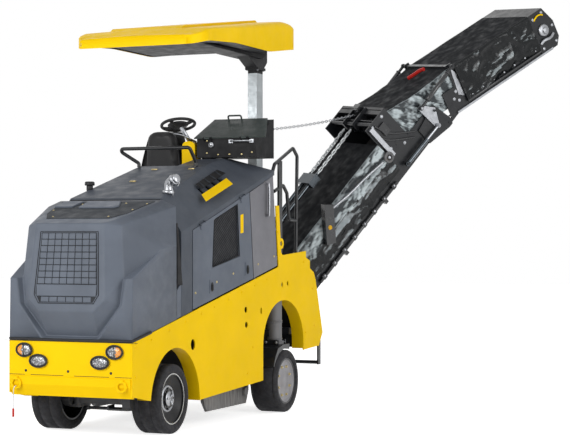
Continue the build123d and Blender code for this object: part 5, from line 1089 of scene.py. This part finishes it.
# Fold linkage: thick link bars, and the sheet that bridges the fold
LINK_X = 430
sleeves = Piece("link_sleeves", "gloss_paint", "links")
for s in BOTH:
    a = UNPLACE @ LOWER @ Vector((s * LINK_X, 2600, 340))
    b = UNPLACE @ UPPER @ Vector((s * LINK_X, 260, 460))
    sleeves.rod(a.lerp(b, 0.2), a.lerp(b, 0.84), 23)
    for k in (0.2, 0.84):
        sleeves.rod(a.lerp(b, k - 0.012), a.lerp(b, k + 0.012), 28)
sleeves.done()
BRIDGE_HALF = 350
BRIDGE_STEPS = 40
SKIRT_STEPS = 24
SKIRT_DROP = 340
FOLD_SPAN = 1000


def bridge_ends(x, down):
    """The two frames' places that the bridging sheet joins, at x across and a drop down its skirt."""
    return LOWER @ Vector((x, 2335, 585 - down)), UPPER @ Vector((x, 305, 452 - down))


rows = []
lights = []
for i in range(BRIDGE_STEPS + 1):
    along = i / BRIDGE_STEPS
    free = math.sin(math.pi * along)
    row = []
    for j in range(-SKIRT_STEPS, BRIDGE_STEPS + SKIRT_STEPS + 1):
        down = max(0, -j, j - BRIDGE_STEPS) * SKIRT_DROP / SKIRT_STEPS
        across = min(max(j, 0), BRIDGE_STEPS) / BRIDGE_STEPS * 2 - 1
        x = across * (BRIDGE_HALF + crumple(along * FOLD_SPAN, down * 3, 12, 5.0) * free * min(1.0, down / 50))
        start, end = bridge_ends(x, down)
        p = start.lerp(end, along)
        p.z += free * (0.01 * noise.noise(p * 7) - 0.03)
        row.append(UNPLACE @ p)
        lights.append(fold_light(down * 3, along * FOLD_SPAN, 24, 5.0) if down else 0.5)
    rows.append(row)
# skirts of clear sheet, with painted fold light and painted reflection
bridge = Piece("fold_sheet", "matt_black clear", None).grid(
    rows, look=lambda i, j: 0 if SKIRT_STEPS <= j < SKIRT_STEPS + BRIDGE_STEPS else 1).done()
store_folds(bridge, lights)
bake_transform(bridge)

# Seat: cushions and shell
SWELL_CAP = 0.014
CLOTH_FRAMES = 20
SEAT_X = -600


def cushion(name, half, place, taper=0.0):
    """A crowned pad: a rounded block, half sizes in metres, that cloth pressure swells."""
    bm = bmesh.new()
    bmesh.ops.create_uvsphere(bm, u_segments=48, v_segments=32, radius=1)
    for vertex in bm.verts:
        x, y, z = (math.copysign(abs(c) ** 0.45, c) for c in vertex.co)
        vertex.co = (x * half[0] * (1 - taper * (y + 1) / 2), y * half[1], z * half[2])
    mesh = bpy.data.meshes.new(name)
    bm.to_mesh(mesh)
    bm.free()
    obj = bpy.data.objects.new(name, mesh)
    scene.collection.objects.link(obj)
    skin = obj.modifiers.new("skin", "REMESH")
    skin.mode = "VOXEL"
    skin.voxel_size = 0.009
    apply(obj)
    before = [v.co.copy() for v in obj.data.vertices]
    cloth = obj.modifiers.new("cloth", "CLOTH")
    cloth.settings.use_pressure = True
    cloth.settings.uniform_pressure_force = 4.0
    cloth.settings.effector_weights.gravity = 0.0
    cloth.point_cache.frame_start = 1
    cloth.point_cache.frame_end = CLOTH_FRAMES
    for frame_number in range(1, CLOTH_FRAMES + 1):
        scene.frame_set(frame_number)
    apply(obj)
    scene.frame_set(1)
    for vertex, rest in zip(obj.data.vertices, before):
        move = vertex.co - rest
        if move.length > SWELL_CAP:
            vertex.co = rest + move * (SWELL_CAP / move.length)
    soft = obj.modifiers.new("soft", "SMOOTH")
    soft.iterations = 4
    apply(obj)
    obj.data.materials.clear()
    obj.data.materials.append(M["vinyl"])
    obj.data.transform(MACHINE @ place @ Matrix.Scale(1 / MM, 4))
    for polygon in obj.data.polygons:
        polygon.use_smooth = True
    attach(obj, "chassis")


cushion("seat_pad", (0.185, 0.165, 0.034), turned(SEAT_X, 1965, 2042, 4))
cushion("seat_back_pad", (0.215, 0.262, 0.036), turned(SEAT_X, 2140, 2330, 97), 0.28)
for s, side in ((-1, "right"), (1, "left")):
    cushion("seat_bolster_" + side, (0.022, 0.15, 0.045), turned(SEAT_X + s * 205, 1960, 2050, 4, -8 * s))
rows = []
for i in range(13):
    k = i / 12
    half = 262 - 75 * k ** 2
    rows.append([(SEAT_X + half * math.sin(math.pi * (j / 12 - 0.5)), 2180 + 80 * k - 65 * abs(j / 6 - 1) ** 2,
                  2020 + 560 * k - 45 * k * abs(j / 6 - 1) ** 4) for j in range(13)])
Piece("seat_shell", "grip", slot="vinyl").grid(rows).box(
    (SEAT_X - 200, SEAT_X + 200), (1800, 2200), (1994, 2006)).done(replaces=["seat"])

# Console: bolts, its lock and its handle
CONSOLE_Y = 1498
CONSOLE_BOLTS = ((160, 2330), (600, 2330), (160, 2440), (600, 2440), (380, 2315), (500, 2315), (270, 2315))
fittings = Piece("console_fittings", "silver brass lens grip")
fittings.bolts([(x, CONSOLE_Y, z) for x, z in CONSOLE_BOLTS], (0, -1, 0), 7, 5, look=1)
fittings.lathe([(0, 0), (20, 0), (24, 4), (24, 12), (20, 14), (0, 14)], turned(205, CONSOLE_Y, 2402, 90), 28)
fittings.rod((205, 1483.5, 2402), (205, 1482, 2402), 17, 20, look=2)
fittings.tube([(400, 1496, 2430), (400, 1462, 2432), (600, 1462, 2432), (600, 1496, 2430)], 8, 10, rounds=1)
for x in (400, 600):
    fittings.box((x - 20, x + 20), (1488, CONSOLE_Y), (2415, 2445))
fittings.done()

# Mast, steering wheel and its column
MAST_X = 315
MAST_Y = 2220
post = Piece("mast_post", "mast grip silver", "roof")
post.box((MAST_X - 45, MAST_X + 45), (MAST_Y - 70, MAST_Y + 70), (1960, 3165))
post.prism([(1850, 3272), (2360, 3330), (2360, 3215), (2290, 3155), (2120, 3155)], 255, 375, YZ, look=1)
post.box((250, 380), (2130, 2310), (3132, 3156), look=1)
post.bolts([(x, y, 3132) for y in (2150, 2290) for x in (262, 368)], (0, 0, -1), 8, 8, look=2)
post.done(4, 2, ["mast"])
RIM_R = 150
RIM = turned(-124, 1492, 2592) @ facing((-0.2, 0.22, 0.95))
rim = Piece("steering_rim", "grip")
rim.tube([RIM @ spoke(RIM_R, math.tau * k / 40) for k in range(40)], 14, 12, closed=True, rounds=0)
rim.lathe([(0, -30), (34, -30), (80, -18), (96, 0), (60, 12), (0, 16)], RIM, 32)
for k in range(4):
    arm = ((45, -12), (100, -12), (146, 0))
    rim.tube([RIM @ spoke(r, math.radians(45 + 90 * k), z) for r, z in arm], 16, 10)
rim.done(replaces=["steering_wheel"])
column = Piece("column_sleeve", "silver")
column.rod((-40, 1560, 2440), (-94, 1488, 2572), 18.5)
column.tube([(20, 1570, 2440), (-20, 1500, 2470), (-75, 1440, 2500), (-120, 1400, 2505)], 6, 8).done()

# Canopy: one moulded shell with rounded shoulders, a raised panel on top, and its dark inner skin
CANOPY_LOW = [(395, 3172), (580, 3222), (1150, 3262), (1900, 3262), (2500, 3345)]
CANOPY_TOP = [(395, 3262), (500, 3285), (560, 3338), (2250, 3590), (2440, 3586), (2500, 3560)]
CANOPY_HALF = 610
CANOPY_STEPS = 48
ROOF_ROUND = 60
CROWN = 10


def along_line(points, y):
    """The height of a line of (y, z) points at y, with its corners eased."""
    total = 0
    for shift in (-50, 0, 50):
        at = min(max(y + shift, points[0][0]), points[-1][0])
        for (y0, z0), (y1, z1) in zip(points, points[1:]):
            if y0 <= at <= y1:
                total += z0 + (z1 - z0) * (at - y0) / (y1 - y0)
                break
    return total / 3


def canopy_rows(inset):
    """The shell's rows of points from front to rear, moved inwards by an inset."""
    first, last = CANOPY_LOW[0][0] + inset, CANOPY_LOW[-1][0] - inset
    rows = []
    for k in range(CANOPY_STEPS + 1):
        y = first + (last - first) * k / CANOPY_STEPS
        front = max(0, (570 - y) / 220)
        rear = max(0, (y - 2420) / 80)
        wide = CANOPY_HALF - 165 * front ** 1.6 - 30 * rear ** 2 - inset
        low = along_line(CANOPY_LOW, y)
        edge = along_line(CANOPY_TOP, y) - inset - CROWN
        shoulder = low + 0.76 * (edge + CROWN - low)
        half = [(wide, low + (shoulder - low) * j / 4) for j in range(5)]
        for j in range(1, 10):
            a = math.radians(10 * j)
            half.append((wide - ROOF_ROUND * (1 - math.cos(a)), shoulder + (edge - shoulder) * math.sin(a) ** 0.9))
        flat = wide - ROOF_ROUND
        half += [(flat - flat * j / 5, edge + CROWN * math.sin(math.pi / 2 * j / 5)) for j in range(1, 6)]
        row = [(x, y, z) for x, z in half] + [(-x, y, z) for x, z in half[-2::-1]]
        hem = [(x, y, low) for x, y, z in row]
        rows += [hem, row] if k == 0 else [row, hem] if k == CANOPY_STEPS else [row]
    return rows


canopy = Piece("canopy_shell", "yellow", "roof").grid(canopy_rows(0))
canopy.grid([row[::-1] for row in canopy_rows(10)])
stations = [(620, -4)] + [(660 + 150 * k, 16) for k in range(11)] + [(2200, -4)]
panel = [[(x, y, along_line(CANOPY_TOP, y) + rise) for x in (-340, -170, 0, 170, 340)] for y, rise in stations]
canopy.grid(panel)
for edge, way in ((-1, 1), (0, -1)):
    canopy.grid([[(x, y, z - drop) for x, y, z in row[edge:][:1] for drop in (0, 20)][::way] for row in panel])
canopy.done(replaces=["canopy"])
Piece("canopy_skin", "liner_gloss", "roof").grid([row[::-1] for row in canopy_rows(16)]).done()

# Stage: floor, light and camera
FLOOR_LIFT = 0.72
FILL_LIGHT = 0.42
bpy.ops.mesh.primitive_plane_add(size=80, location=(0, 0, 0))
floor = bpy.context.object
floor.name = "studio_floor"
stage = material("studio_white")
floor.data.materials.append(stage.finish(
    (0.9, 0.9, 0.9), 0.9, Emission_Color=(1, 1, 1), Emission_Strength=stage.seen(0.0, FLOOR_LIFT)))
floor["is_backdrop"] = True

scene.world = bpy.data.worlds.new("studio")
world = Tree(scene.world, "Background")
world.put((1, 1, 1), world.shader["Color"])
world.put(world.seen(FILL_LIGHT, 1.0), world.shader["Strength"])


def area_light(name, place, power):
    """A soft square lamp that looks at the machine."""
    data = bpy.data.lights.new(name, "AREA")
    data.size = 6
    data.energy = power
    lamp = bpy.data.objects.new(name, data)
    scene.collection.objects.link(lamp)
    lamp.location = place
    lamp.rotation_euler = (Vector((0, -0.5, 1.4)) - Vector(place)).to_track_quat("-Z", "Y").to_euler()


area_light("key", (-3, -12, 5), 770)
area_light("fill", (10, -4, 4), 560)
area_light("rim", (-6, 9, 8), 70)

FOCAL_PX = 1664.0
FRAME_PX = 570.0
SENSOR = 36.0
camera_data = bpy.data.cameras.new("camera")
camera_data.sensor_width = SENSOR
camera_data.lens = FOCAL_PX / FRAME_PX * SENSOR
camera_data.clip_end = 200
camera = bpy.data.objects.new("camera", camera_data)
scene.collection.objects.link(camera)
camera.location = MACHINE @ Vector((6578, -11965, 1570))
camera.rotation_euler = (math.radians(90.62), 0, math.radians(22.8))
scene.camera = camera
scene.view_settings.view_transform = "Standard"

low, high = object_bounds()
